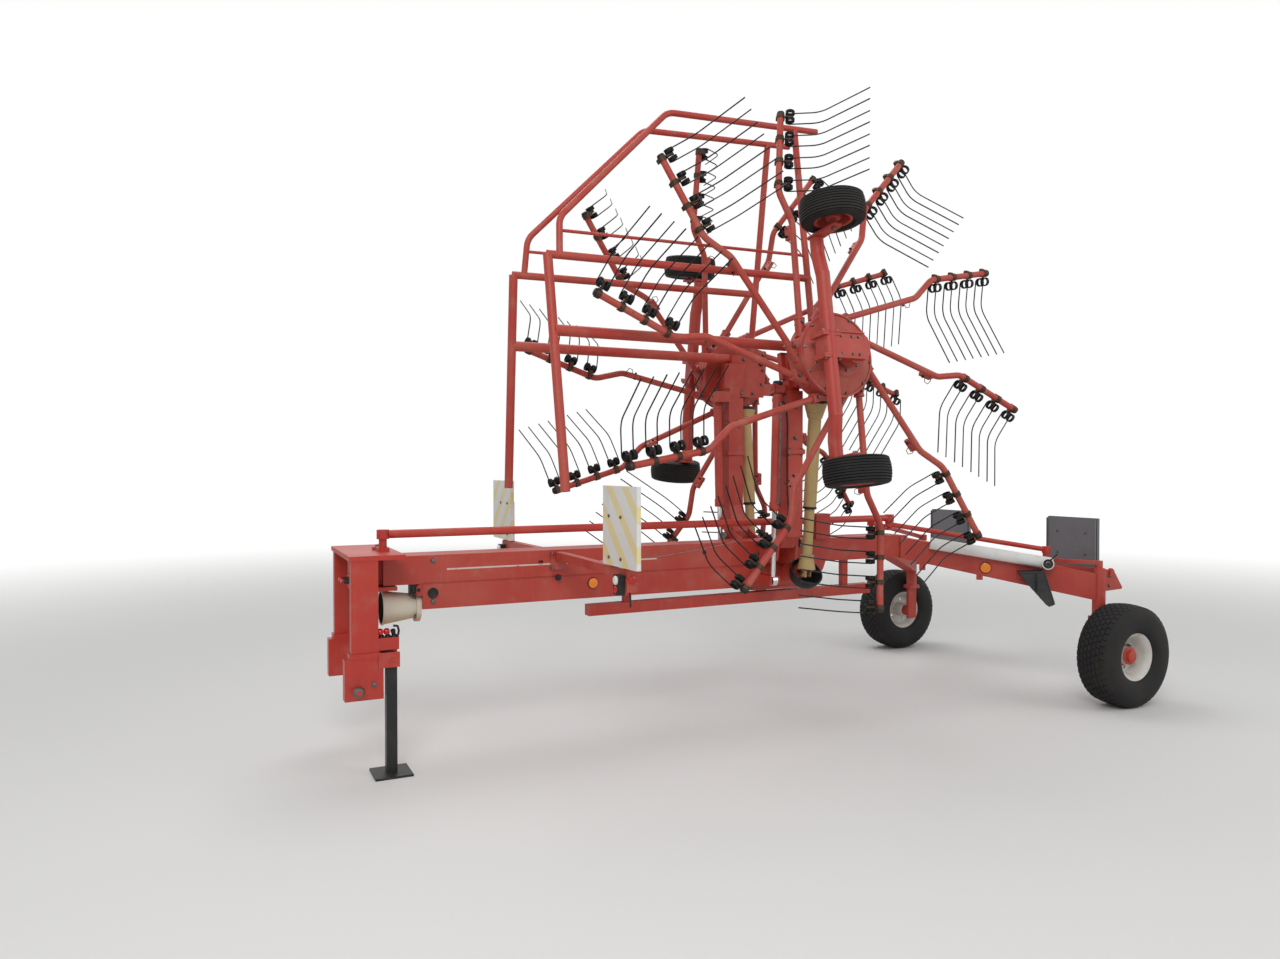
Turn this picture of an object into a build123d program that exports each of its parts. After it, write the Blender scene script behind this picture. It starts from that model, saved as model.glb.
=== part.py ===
from build123d import *
import os
from math import acos, atan2, cos, degrees, hypot, pi, radians, sin, sqrt

# Twin-rotor trailed rake, folded for the road and standing on its parking stand. Millimetres.
# +X forward, +Y left, +Z up. The origin is on the ground, under the middle of the machine.

# Road wheels and their axle line
tyre_radius = 355
tyre_width = 264
wheel_track = 2280
rim_radius = 152
rim_well_radius = 128
wheel_hub_radius = 62
axle_radius = 25
kingpin_inset = 195
kingpin_y = wheel_track / 2 - kingpin_inset
kingpin_radius = 25
kingpin_housing_radius = 44
running_gap = 0.3

# Main beam, measured forward of the axle line
front_reach = 5085
nose_setback = 245
nose_x = front_reach - nose_setback
front_plate_setback = 465
front_plate_x = front_reach - front_plate_setback
front_hole_setback = 142
deep_rear_x = 1960
haunch_length = 190
knee_x = 1150
beam_half_width = 110
beam_top = 1153
beam_fold_z = 990
beam_bottom = 843
nose_radius = 62

# Folding of the rotor units about their lengthwise pivots
pivot_y = 281
pivot_z = 1160
pivot_radius = 20
fold_angle = 98.5
ground_depth = 1099
arm_x = 2251
arm_extension = 380

# Rotor, in the working position: forward of the axle line, outboard of the pivot, above ground
rotor_x = 2120
rotor_out = 1140
rotor_height = 605
arm_count = 10
arm_phase = 19
right_rotor_turn = 7
arm_side_step = 215
arm_crank_step = 90
arm_crank_length = 193
arm_tube_radius = 21
arm_bend_radius = 130
arm_reach = 1625
drum_radius = 268
drum_depth = 150
column_radius = 58

# Spring tines
tines_per_arm = 4
tine_pitch = 157
tine_end_margin = 22
tine_first = arm_reach - tine_end_margin - (tines_per_arm - 1) * tine_pitch
coil_radius = 32
coil_pack_length = 34
coil_offset = 62
tine_wire = 9
tine_spread = 76
tine_upper = 165
tine_lower = 385
tine_bend = 48

# Gauge wheels under the rotors
gauge_x = 2320
gauge_radius = 200
gauge_width = 165
gauge_rim_radius = 105
gauge_inner_out = 343
gauge_outer_out = 1937
gauge_axle_radius = 15

# Crop guard frames over the rotors
guard_height = 800

# Steering
steering_rod_y = 100
steering_rod_radius = 24
steering_eye_radius = 34
steering_pin_x = 160
steering_pin_y = 630
steering_pin_z = 1050
lever_low = beam_top + 39
lever_top = lever_low + 14
track_eye_low = lever_top + 7.3
track_eye_top = track_eye_low + 41.4
track_tube_radius = 18
steering_rod_z = track_eye_top + running_gap + steering_rod_radius + 2.5

# Warning boards
board_size = 423
board_depth = 22
front_board_x = 3787
front_board_y = 1023
front_board_z = 1349
rear_board_x = -150
rear_board_y = 615
rear_board_z = 1070

os.makedirs("parts", exist_ok=True)

axle_x = -(front_reach - tyre_radius) / 2


def fwd(distance):
    """X of a place that is given as a distance forward of the axle line."""
    return axle_x + distance


# The frame of the left rotor unit: its own X, Y and Z are the working position's forward,
# outboard of the pivot and height above ground, and the plane puts them in the folded place.
fold_cos = cos(radians(fold_angle))
fold_sin = sin(radians(fold_angle))
unit_up = Vector(0, -fold_sin, fold_cos)
unit_out = Vector(0, fold_cos, fold_sin)
pivot_point = Vector(0, pivot_y, pivot_z)
unit = Plane(origin=pivot_point - unit_up * ground_depth, x_dir=(1, 0, 0), z_dir=unit_up)


def block(x, y, z, mode=Mode.ADD):
    """A box between a low and a high value along each axis of the builder's plane."""
    with Locations(((x[0] + x[1]) / 2, (y[0] + y[1]) / 2, (z[0] + z[1]) / 2)):
        Box(x[1] - x[0], y[1] - y[0], z[1] - z[0], mode=mode)


def bar(start, end, radius, mode=Mode.ADD):
    """A round bar between two points of the builder's plane."""
    a, b = Vector(*start), Vector(*end)
    with Locations(Plane(origin=(a + b) / 2, z_dir=b - a)):
        Cylinder(radius, (b - a).length, mode=mode)


def taper(start, end, start_radius, end_radius, mode=Mode.ADD):
    """A cone between two points of the builder's plane."""
    a, b = Vector(*start), Vector(*end)
    with Locations(Plane(origin=(a + b) / 2, z_dir=b - a)):
        Cone(start_radius, end_radius, (b - a).length, mode=mode)


def box_bar(start, end, across, width, height, mode=Mode.ADD):
    """A box bar between two points; its width lies along the direction across."""
    a, b = Vector(*start), Vector(*end)
    with Locations(Plane(origin=(a + b) / 2, x_dir=across, z_dir=b - a)):
        Box(width, height, (b - a).length, mode=mode)


def bent_pipe(frame, points, radius, bend):
    """A round tube through points of a frame, bent at each inner point to a radius of its centre line."""
    with BuildLine(frame) as path:
        FilletPolyline(*points, radius=bend)
    with BuildSketch(Plane(origin=path.line @ 0, z_dir=path.line % 0)) as section:
        Circle(radius)
    sweep(section.sketch, path=path.line)


def finish(part, name):
    """Labels a finished piece and writes it."""
    part.label = name
    export_step(part, f"parts/{name}.step")


def finish_both(part, name):
    """Writes a left-hand piece and its mirror image as one node."""
    with BuildPart() as both:
        add(part)
        add(mirror(part, about=Plane.XZ))
    finish(both.part, name)


def finish_pair(part, name):
    """Writes a left-hand piece and its mirror image on the right."""
    finish(part, f"{name}_left")
    finish(mirror(part, about=Plane.XZ), f"{name}_right")


# Main beam: a deep folded box from the front plate to the gearbox, shallow behind it
with BuildPart() as main_beam:
    with BuildSketch(Plane.XZ):
        with BuildLine():
            Polyline(
                (fwd(deep_rear_x - haunch_length), beam_fold_z),
                (fwd(knee_x - 60), beam_fold_z),
                (fwd(knee_x - 60), beam_top),
                (fwd(nose_x), beam_top),
                (fwd(nose_x), beam_fold_z),
                (fwd(front_plate_x), beam_fold_z),
                (fwd(front_plate_x), beam_bottom),
                (fwd(deep_rear_x), beam_bottom),
            )
            RadiusArc(
                (fwd(deep_rear_x), beam_bottom),
                (fwd(deep_rear_x - haunch_length), beam_fold_z),
                haunch_length,
            )
        make_face()
    extrude(amount=beam_half_width, both=True)
    fold_groove = 5
    for side in (-1, 1):
        block(
            (fwd(deep_rear_x), fwd(front_plate_x + 1)),
            (side * beam_half_width - fold_groove, side * beam_half_width + fold_groove),
            (beam_fold_z - fold_groove, beam_fold_z + fold_groove),
            mode=Mode.SUBTRACT,
        )
    bar((fwd(nose_x), 0, beam_fold_z), (fwd(nose_x), 0, beam_top), nose_radius)
    bar(
        (fwd(nose_x), 0, beam_fold_z - 1),
        (fwd(nose_x), 0, beam_top + 1),
        kingpin_radius + running_gap,
        mode=Mode.SUBTRACT,
    )
    # Access holes in the sheet: distance forward, height, length and width
    access_holes = (
        (front_plate_x - front_hole_setback, 922, 100, 52),
        (3905, 1080, 34, 26),
        (3620, 1068, 34, 26),
        (2760, 1092, 34, 26),
    )
    hole_depth = 30
    for distance, height, length, width in access_holes:
        for side in (-1, 1):
            with BuildSketch(
                Plane(origin=(fwd(distance), side * beam_half_width, height), x_dir=(1, 0, 0), z_dir=(0, side, 0))
            ):
                SlotOverall(length, width)
            extrude(amount=-hole_depth, mode=Mode.SUBTRACT)
    # Boss for the rear steering lever, and the guide of the steering rod
    bar((fwd(knee_x + 30), 0, beam_top - 1), (fwd(knee_x + 30), 0, lever_low - running_gap), 34)
    block((fwd(1760), fwd(1880)), (-60, 150), (beam_top, beam_top + 14))
    block((fwd(1760), fwd(1880)), (steering_rod_y - 50, steering_rod_y + 50), (beam_top + 14, steering_rod_z + 48))
    bar(
        (fwd(1759), steering_rod_y, steering_rod_z),
        (fwd(1881), steering_rod_y, steering_rod_z),
        steering_rod_radius + running_gap,
        mode=Mode.SUBTRACT,
    )
finish(main_beam.part, "main_beam")

# Rear Y frame: a knee box, two tapered legs and the kingpin housings
leg_width = 110
housing_low = 596
housing_high = 915
leg_knee = Vector(fwd(knee_x - 60), 52, beam_top - 85)
leg_end = Vector(fwd(20), kingpin_y - 22, housing_high - 109)
leg_along = Vector(leg_end.X - leg_knee.X, leg_end.Y - leg_knee.Y, 0).normalized()
leg_outward = Vector(leg_along.Y, -leg_along.X, 0)


def on_leg(distance, outward, height):
    """A point beside the left leg, from the knee along it, out from its axis and above ground."""
    foot = Vector(leg_knee.X, leg_knee.Y, height)
    return foot + leg_along * distance + leg_outward * outward


with BuildPart() as rear_frame:
    for side in (-1, 1):
        knee_point = Vector(leg_knee.X, side * leg_knee.Y, leg_knee.Z)
        end_point = Vector(leg_end.X, side * leg_end.Y, leg_end.Z)
        along = Vector(end_point.X - knee_point.X, end_point.Y - knee_point.Y, 0).normalized()
        across = Vector(-along.Y, along.X, 0)
        with BuildSketch(Plane(origin=knee_point, x_dir=across, z_dir=along)):
            Rectangle(leg_width, 156)
        with BuildSketch(Plane(origin=end_point, x_dir=across, z_dir=along)):
            Rectangle(leg_width - 20, 190)
        loft()
        bar((fwd(0), side * kingpin_y, housing_low), (fwd(0), side * kingpin_y, housing_high), kingpin_housing_radius)
    block(
        (fwd(knee_x - 60), fwd(knee_x + 90)),
        (-2 * leg_width, 2 * leg_width),
        (beam_fold_z - 60, beam_top + 20),
        mode=Mode.SUBTRACT,
    )
    block((fwd(knee_x - 130), fwd(knee_x - 60)), (-beam_half_width, beam_half_width), (beam_fold_z, beam_top - 4))
    for side in (-1, 1):
        bar(
            (fwd(0), side * kingpin_y, housing_low - 1),
            (fwd(0), side * kingpin_y, housing_high + 1),
            kingpin_radius + running_gap,
            mode=Mode.SUBTRACT,
        )
finish(rear_frame.part, "rear_frame")

# Warning board carriers at the leg ends
rear_bar_z = 900
with BuildPart() as rear_board_carrier:
    box_bar(
        (fwd(rear_board_x + 45), 410, rear_bar_z),
        (fwd(rear_board_x + 45), kingpin_y + 30, rear_bar_z),
        (1, 0, 0),
        40,
        40,
    )
    with BuildSketch(Plane(origin=(fwd(-62), kingpin_y - 6, 0), x_dir=(1, 0, 0), z_dir=(0, 1, 0))):
        with BuildLine():
            Polyline((-74, -832), (17.7, -812), (17.7, -912), (-44, -912), (-74, -832))
        make_face()
    extrude(amount=12)
    for post_y in (rear_board_y - 120, rear_board_y + 120):
        block(
            (fwd(rear_board_x + 15), fwd(rear_board_x + 25)),
            (post_y - 20, post_y + 20),
            (rear_bar_z - 20, rear_board_z + 120),
        )
finish_both(rear_board_carrier.part, "rear_board_carriers")

with BuildPart() as rear_board:
    block(
        (fwd(rear_board_x - 10), fwd(rear_board_x + 15)),
        (rear_board_y - board_size / 2, rear_board_y + board_size / 2),
        (rear_board_z - board_size / 2, rear_board_z + board_size / 2),
    )
finish_both(rear_board.part, "rear_boards")

# Front warning boards on outriggers from the beam's side
outrigger_z = 1100
outrigger_x = front_board_x - 35
with BuildPart() as front_board_carrier:
    box_bar(
        (fwd(outrigger_x + 40), beam_half_width + 3, outrigger_z + 18),
        (fwd(outrigger_x), front_board_y + 60, outrigger_z),
        (1, 0, 0),
        50,
        50,
    )
    for post_y in (front_board_y - 130, front_board_y + 20):
        block(
            (fwd(outrigger_x), fwd(front_board_x - 12)),
            (post_y - 20, post_y + 20),
            (outrigger_z - 20, front_board_z + 60),
        )
    block(
        (fwd(outrigger_x - 30), fwd(outrigger_x + 30)),
        (front_board_y + 10, front_board_y + 60),
        (outrigger_z - 90, outrigger_z - 20),
    )
    block(
        (fwd(outrigger_x - 10), fwd(outrigger_x + 90)),
        (beam_half_width, beam_half_width + 12),
        (outrigger_z - 70, outrigger_z + 45),
    )
finish_both(front_board_carrier.part, "front_board_carriers")

with BuildPart() as front_board:
    block(
        (fwd(front_board_x - 12), fwd(front_board_x + 12)),
        (front_board_y - board_size / 2, front_board_y + board_size / 2),
        (front_board_z - board_size / 2, front_board_z + board_size / 2),
    )
finish_both(front_board.part, "front_boards")

# Central gearbox: a bevel housing in the beam with an output to each side
output_x = 2100
output_z = 950
joint_y = 330
with BuildPart() as central_gearbox:
    for side in (-1, 1):
        bar(
            (fwd(output_x), side * beam_half_width, output_z),
            (fwd(output_x), side * (beam_half_width + 60), output_z),
            72,
        )
        bar(
            (fwd(output_x), side * (beam_half_width + 60), output_z),
            (fwd(output_x), side * (beam_half_width + 150), output_z),
            50,
        )
        # Output stub with the cross pin of the universal joint
        bar(
            (fwd(output_x), side * (beam_half_width + 150), output_z),
            (fwd(output_x), side * joint_y, output_z),
            12,
        )
        bar((fwd(output_x - 36), side * joint_y, output_z), (fwd(output_x + 36), side * joint_y, output_z), 10)
    block((fwd(output_x - 120), fwd(output_x + 260)), (-92, 92), (beam_bottom - 28, beam_bottom))
    bar((fwd(output_x + 180), 0, beam_bottom - 36), (fwd(output_x + 180), 0, beam_bottom - 20), 70)
finish(central_gearbox.part, "central_gearbox")

# Square tool tube slung under the beam
lower_tube_size = 70
with BuildPart() as lower_tube:
    lower_tube_front = Vector(fwd(3575), 45, beam_bottom - 85)
    lower_tube_rear = Vector(fwd(1340), 45, beam_bottom - 74)
    box_bar(tuple(lower_tube_front), tuple(lower_tube_rear), (0, 1, 0), lower_tube_size, lower_tube_size)
    for hanger_start, hanger_top in (
        (lower_tube_front - Vector(275, 0, 0), beam_bottom),
        (lower_tube_rear + Vector(220, 0, 0), beam_fold_z),
    ):
        block(
            (hanger_start.X - 25, hanger_start.X + 25),
            (hanger_start.Y - 20, hanger_start.Y + 20),
            (hanger_start.Z + 30, hanger_top),
        )
finish(lower_tube.part, "lower_tube")

# Input shaft with its splined stub, guard cone and bearing plate
input_z = beam_bottom + 9
input_stub_radius = 17.45
input_shoulder_radius = 24
input_shoulder_length = 46
input_stub_length = 104
with BuildPart() as input_guard:
    bar((fwd(front_plate_x), 0, input_z), (fwd(front_plate_x + 26), 0, input_z), 92)
    taper((fwd(front_plate_x + 26), 0, input_z), (fwd(front_plate_x + 215), 0, input_z), 70, 98)
    taper(
        (fwd(front_plate_x + 30), 0, input_z),
        (fwd(front_plate_x + 216), 0, input_z),
        64,
        93,
        mode=Mode.SUBTRACT,
    )
    bar(
        (fwd(front_plate_x - 1), 0, input_z),
        (fwd(front_plate_x + 31), 0, input_z),
        input_shoulder_radius + running_gap,
        mode=Mode.SUBTRACT,
    )
finish(input_guard.part, "input_guard")

with BuildPart() as input_shaft:
    stub_start = front_plate_x + input_shoulder_length
    bar((fwd(front_plate_x + running_gap), 0, input_z), (fwd(stub_start), 0, input_z), input_shoulder_radius)
    bar((fwd(stub_start - 1), 0, input_z), (fwd(stub_start + input_stub_length), 0, input_z), input_stub_radius)
finish(input_shaft.part, "input_shaft")

# Headstock: a portal that swivels on the beam's nose
post_y = 330
post_half_width = 30
post_front = front_reach - 35
post_back = front_reach - 175
yoke_front = nose_x + 160
link_pin_x = front_reach - 65
link_pin_z = 480
link_pin_length = 88
foot_top = link_pin_z + 160
stand_pin_x = nose_x
stand_pin_z = foot_top - 15
with BuildPart() as headstock:
    block(
        (fwd(nose_x - 75), fwd(front_reach - 25)),
        (-post_y - post_half_width - 5, post_y + post_half_width + 5),
        (beam_top + 8, beam_top + 34),
    )
    block((fwd(nose_x - 75), fwd(yoke_front)), (-125, 125), (beam_fold_z - 28, beam_fold_z - 6))
    block((fwd(yoke_front - 45), fwd(yoke_front)), (-125, 125), (beam_fold_z - 28, beam_top + 34))
    for side in (-1, 1):
        low, high = sorted((side * (post_y - post_half_width), side * (post_y + post_half_width)))
        block((fwd(post_back), fwd(post_front)), (low, high), (link_pin_z - 20, beam_top + 34))
        block((fwd(post_back - 10), fwd(post_front + 10)), (low - 10, high + 10), (foot_top, foot_top + 28))
        block((fwd(post_back - 25), fwd(front_reach)), (low - 6, high + 6), (link_pin_z - 60, foot_top))
    bar((fwd(nose_x), 0, beam_fold_z - 28), (fwd(nose_x), 0, beam_top + 50), kingpin_radius)
    bar((fwd(nose_x), 0, beam_top + 33), (fwd(nose_x), 0, beam_top + 50), 44)
    block((fwd(nose_x - 30), fwd(nose_x + 30)), (0, steering_rod_y + 40), (beam_top + 33, beam_top + 55))
    bar(
        (fwd(nose_x), steering_rod_y, beam_top + 50),
        (fwd(nose_x), steering_rod_y, track_eye_top),
        22,
    )
    stand_bracket = (fwd(stand_pin_x - 40), fwd(post_back + 2))
    block(stand_bracket, (post_y - 30, post_y + 22), (foot_top + 36, foot_top + 102))
    block(stand_bracket, (post_y - 45, post_y - 33), (stand_pin_z - 40, stand_pin_z + 40))
    block(stand_bracket, (post_y + 33, post_y + 45), (stand_pin_z - 40, stand_pin_z + 40))
    # Lower link pins, and the pin of the parking stand
    pin_seat = post_y + post_half_width + 4
    for side in (-1, 1):
        bar(
            (fwd(link_pin_x), side * pin_seat, link_pin_z),
            (fwd(link_pin_x), side * (pin_seat + link_pin_length), link_pin_z),
            14,
        )
        bar(
            (fwd(link_pin_x), side * pin_seat, link_pin_z),
            (fwd(link_pin_x), side * (pin_seat + 14), link_pin_z),
            26,
        )
    bar((fwd(stand_pin_x), post_y - 52, stand_pin_z), (fwd(stand_pin_x), post_y + 52, stand_pin_z), 10)
finish(headstock.part, "headstock")

# Parking stand: a leg that swings down from the headstock's left post
with BuildPart() as parking_stand:
    block((fwd(stand_pin_x - 28), fwd(stand_pin_x + 28)), (post_y - 28, post_y + 28), (12, stand_pin_z + 28))
    block((fwd(stand_pin_x - 100), fwd(stand_pin_x + 100)), (post_y - 100, post_y + 100), (0, 12))
    bar(
        (fwd(stand_pin_x), post_y - 29, stand_pin_z),
        (fwd(stand_pin_x), post_y + 29, stand_pin_z),
        10 + running_gap,
        mode=Mode.SUBTRACT,
    )
finish(parking_stand.part, "parking_stand")

# Steering: the long rod, the rear lever and the two tubes to the wheels
lever_x = knee_x + 30
with BuildPart() as steering_rod:
    bar(
        (fwd(lever_x + 30), steering_rod_y, steering_rod_z),
        (fwd(nose_x - 30), steering_rod_y, steering_rod_z),
        steering_rod_radius,
    )
    for end_x in (lever_x, nose_x):
        bar(
            (fwd(end_x), steering_rod_y, track_eye_top + running_gap),
            (fwd(end_x), steering_rod_y, steering_rod_z + steering_rod_radius + 2),
            steering_eye_radius,
        )
finish(steering_rod.part, "steering_rod")

with BuildPart() as steering_lever:
    lever_half_width = steering_rod_y + 28
    block((fwd(lever_x - 32), fwd(lever_x + 32)), (-lever_half_width, lever_half_width), (lever_low, lever_top))
    bar((fwd(lever_x), 0, lever_low), (fwd(lever_x), 0, lever_top + 24), 40)
    for pin_y in (-steering_rod_y, steering_rod_y):
        bar((fwd(lever_x), pin_y, lever_low), (fwd(lever_x), pin_y, track_eye_low - running_gap), 16)
finish(steering_lever.part, "steering_lever")

track_start = Vector(fwd(lever_x), steering_rod_y, (track_eye_low + track_eye_top) / 2 + 1)
track_end = Vector(fwd(steering_pin_x), steering_pin_y, steering_pin_z)
with BuildPart() as track_tube:
    bar(tuple(track_start), tuple(track_end), track_tube_radius)
    bar(
        (track_start.X, track_start.Y, track_eye_low),
        (track_start.X, track_start.Y, track_eye_top - running_gap),
        30,
    )
    bar(
        (track_end.X, track_end.Y, track_end.Z - 24),
        (track_end.X, track_end.Y, track_end.Z + 24),
        30,
    )
finish_pair(track_tube.part, "track_tube")

# Knuckles: kingpin, drop plate, stub axle and steering arm
hub_inner_y = wheel_track / 2 - 118
with BuildPart() as knuckle:
    bar((fwd(0), kingpin_y, housing_low - 30), (fwd(0), kingpin_y, steering_pin_z - 60), kingpin_radius)
    bar((fwd(0), kingpin_y, housing_high + running_gap), (fwd(0), kingpin_y, housing_high + 22), 40)
    block((fwd(-55), fwd(55)), (kingpin_y - 44, kingpin_y + 42), (housing_low - 30, housing_low - running_gap))
    block((fwd(-45), fwd(45)), (kingpin_y - 14, kingpin_y + 14), (tyre_radius - 60, housing_low - 30))
    bar((fwd(0), kingpin_y - 14, tyre_radius), (fwd(0), wheel_track / 2 + 40, tyre_radius), axle_radius)
    bar((fwd(0), kingpin_y + 14, tyre_radius), (fwd(0), hub_inner_y - 1, tyre_radius), 44)
    box_bar(
        (fwd(0), kingpin_y, steering_pin_z - 74),
        (fwd(steering_pin_x), steering_pin_y, steering_pin_z - 74),
        (0, 0, 1),
        24,
        56,
    )
    bar(
        (fwd(steering_pin_x), steering_pin_y, steering_pin_z - 80),
        (fwd(steering_pin_x), steering_pin_y, steering_pin_z - 24 - running_gap),
        24,
    )
finish_pair(knuckle.part, "knuckle")

with BuildPart() as road_rim:
    with BuildSketch(Plane.YZ.offset(fwd(0))):
        with BuildLine():
            Polyline(
                (wheel_track / 2 - 118, tyre_radius + axle_radius + running_gap),
                (wheel_track / 2 + 46, tyre_radius + axle_radius + running_gap),
                (wheel_track / 2 + 46, tyre_radius + wheel_hub_radius),
                (wheel_track / 2 - 20, tyre_radius + wheel_hub_radius),
                (wheel_track / 2 - 20, tyre_radius + rim_well_radius - 6),
                (wheel_track / 2 + 70, tyre_radius + rim_well_radius + 4),
                (wheel_track / 2 + 104, tyre_radius + rim_radius + 14),
                (wheel_track / 2 + 104, tyre_radius + rim_radius + 20),
                (wheel_track / 2 + 90, tyre_radius + rim_radius + 4),
                (wheel_track / 2 + 60, tyre_radius + rim_well_radius + 12),
                (wheel_track / 2 - 60, tyre_radius + rim_well_radius + 12),
                (wheel_track / 2 - 90, tyre_radius + rim_radius + 4),
                (wheel_track / 2 - 104, tyre_radius + rim_radius + 20),
                (wheel_track / 2 - 104, tyre_radius + rim_radius + 14),
                (wheel_track / 2 - 70, tyre_radius + rim_well_radius + 4),
                (wheel_track / 2 - 30, tyre_radius + rim_well_radius - 6),
                (wheel_track / 2 - 30, tyre_radius + wheel_hub_radius),
                (wheel_track / 2 - 118, tyre_radius + wheel_hub_radius),
                close=True,
            )
        make_face()
    revolve(axis=Axis((fwd(0), 0, tyre_radius), (0, 1, 0)))
finish_pair(road_rim.part, "road_rim")

with BuildPart() as road_tyre:
    with BuildSketch(Plane.YZ.offset(fwd(0))):
        with BuildLine():
            Polyline(
                (wheel_track / 2 - 89, tyre_radius + rim_radius + 5),
                (wheel_track / 2 - tyre_width / 2, tyre_radius + 230),
                (wheel_track / 2 - tyre_width / 2, tyre_radius + 290),
                (wheel_track / 2 - 105, tyre_radius + 338),
                (wheel_track / 2 - 60, tyre_radius + tyre_radius),
                (wheel_track / 2 + 60, tyre_radius + tyre_radius),
                (wheel_track / 2 + 105, tyre_radius + 338),
                (wheel_track / 2 + tyre_width / 2, tyre_radius + 290),
                (wheel_track / 2 + tyre_width / 2, tyre_radius + 230),
                (wheel_track / 2 + 89, tyre_radius + rim_radius + 5),
                (wheel_track / 2 + 59, tyre_radius + rim_well_radius + 13),
                (wheel_track / 2 - 59, tyre_radius + rim_well_radius + 13),
                close=True,
            )
        make_face()
    revolve(axis=Axis((fwd(0), 0, tyre_radius), (0, 1, 0)))
finish_pair(road_tyre.part, "road_tyre")

# Hinge brackets of the lift arms on the beam, with their pivot pins
arm_half_length = 60.5
cheek_gap = 6
cheek_width = 16
cylinder_x = arm_x + 116
cheek_front = arm_x + arm_half_length + cheek_gap
cheek_rear = arm_x - arm_half_length - cheek_gap
with BuildPart() as pivot_bracket:
    for cheek_x in (cheek_rear - cheek_width, cheek_front):
        with BuildSketch(Plane.YZ.offset(fwd(cheek_x))):
            with BuildLine():
                Polyline(
                    (beam_half_width, beam_fold_z),
                    (beam_half_width, beam_top),
                    (beam_half_width + 90, beam_top + 33),
                    (pivot_y - 30, pivot_z + 52),
                    (pivot_y + 30, pivot_z + 52),
                    (pivot_y + 58, pivot_z),
                    (pivot_y + 40, pivot_z - 120),
                    (beam_half_width, beam_fold_z),
                )
            make_face()
        extrude(amount=cheek_width)
    bar(
        (fwd(cheek_rear - cheek_width - 10), pivot_y, pivot_z),
        (fwd(cheek_front + cheek_width + 10), pivot_y, pivot_z),
        pivot_radius,
    )
    # Lug for the lift cylinder's rod
    rod_pin_y = 331
    rod_pin_z = 910
    lug_x = cylinder_x - 36
    block((fwd(lug_x), fwd(lug_x + 12)), (beam_half_width, rod_pin_y + 26), (rod_pin_z - 26, rod_pin_z + 30))
    block((fwd(lug_x + 60), fwd(lug_x + 72)), (beam_half_width, rod_pin_y + 26), (rod_pin_z - 26, rod_pin_z + 30))
finish_both(pivot_bracket.part, "pivot_brackets")

# Lift arms: an outer box on the pivot and an inner box that slides out of it
arm_inner_y = 314
arm_outer_y = 414
arm_bottom = 1120
arm_top = 2160
wall = 10
slide_gap = 6
with BuildPart() as lift_arm:
    arm_length = (fwd(arm_x - arm_half_length), fwd(arm_x + arm_half_length))
    block(arm_length, (arm_inner_y, arm_outer_y), (arm_bottom + 80, arm_top))
    with BuildSketch(Plane.YZ.offset(arm_length[0])):
        with BuildLine():
            Polyline(
                (pivot_y - 37, arm_bottom),
                (pivot_y + 44, arm_bottom),
                (arm_outer_y, arm_bottom + 110),
                (arm_outer_y, arm_bottom + 260),
                (arm_inner_y, arm_bottom + 260),
                (pivot_y - 37, pivot_z + 37),
                (pivot_y - 37, arm_bottom),
            )
        make_face()
    extrude(amount=2 * arm_half_length)
    block(
        (fwd(arm_x - arm_half_length - 12), fwd(arm_x + arm_half_length + 12)),
        (arm_inner_y - 12, arm_outer_y + 12),
        (1745, 1775),
    )
    block(
        (fwd(arm_x - arm_half_length + wall), fwd(arm_x + arm_half_length - wall)),
        (arm_inner_y + wall, arm_outer_y - wall),
        (1380, arm_top + 1),
        mode=Mode.SUBTRACT,
    )
    bar(
        (fwd(arm_x - arm_half_length - 1), pivot_y, pivot_z),
        (fwd(arm_x + arm_half_length + 1), pivot_y, pivot_z),
        pivot_radius + running_gap,
        mode=Mode.SUBTRACT,
    )
    # Ears for the lift cylinder, on a bridge from the box's front face
    ear_y = 381
    ear_z = 2170
    bridge_y = (arm_inner_y - 24, arm_inner_y + 20)
    block((arm_length[1] - 1, fwd(cylinder_x + 50)), bridge_y, (ear_z - 42, ear_z + 34))
    for ear_x in (cylinder_x - 50, cylinder_x + 38):
        with BuildSketch(Plane.YZ.offset(fwd(ear_x))):
            with BuildLine():
                Polyline(
                    (bridge_y[0], ear_z - 42), (bridge_y[1], ear_z - 42), (ear_y + 26, ear_z - 26),
                    (ear_y + 26, ear_z + 26), (bridge_y[0], ear_z + 34), (bridge_y[0], ear_z - 42),
                )
            make_face()
        extrude(amount=12)
    bar((fwd(cylinder_x - 50), ear_y, ear_z), (fwd(cylinder_x + 56), ear_y, ear_z), 13)
finish_pair(lift_arm.part, "lift_arm")

inner_margin = wall + slide_gap
inner_arm_x = (fwd(arm_x - arm_half_length + inner_margin), fwd(arm_x + arm_half_length - inner_margin))
inner_arm_y = (arm_inner_y + inner_margin, arm_outer_y - inner_margin)

# Lift cylinders: barrel on the arm's ears, rod down to the beam's lug
cylinder_top = Vector(fwd(cylinder_x), ear_y, ear_z)
cylinder_foot = Vector(fwd(cylinder_x), rod_pin_y, rod_pin_z)
cylinder_axis = (cylinder_foot - cylinder_top).normalized()


def on_cylinder(distance):
    """A point on the lift cylinder's axis, from its upper eye."""
    return tuple(cylinder_top + cylinder_axis * distance)


barrel_length = 800
with BuildPart() as lift_barrel:
    bar(on_cylinder(34), on_cylinder(barrel_length), 32)
    bar((cylinder_top.X - 32, ear_y, ear_z), (cylinder_top.X + 32, ear_y, ear_z), 36)
    bar(on_cylinder(90), on_cylinder(barrel_length + 1), 18, mode=Mode.SUBTRACT)
    bar((cylinder_top.X - 33, ear_y, ear_z), (cylinder_top.X + 33, ear_y, ear_z), 13.3, mode=Mode.SUBTRACT)
finish_pair(lift_barrel.part, "lift_barrel")

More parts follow.
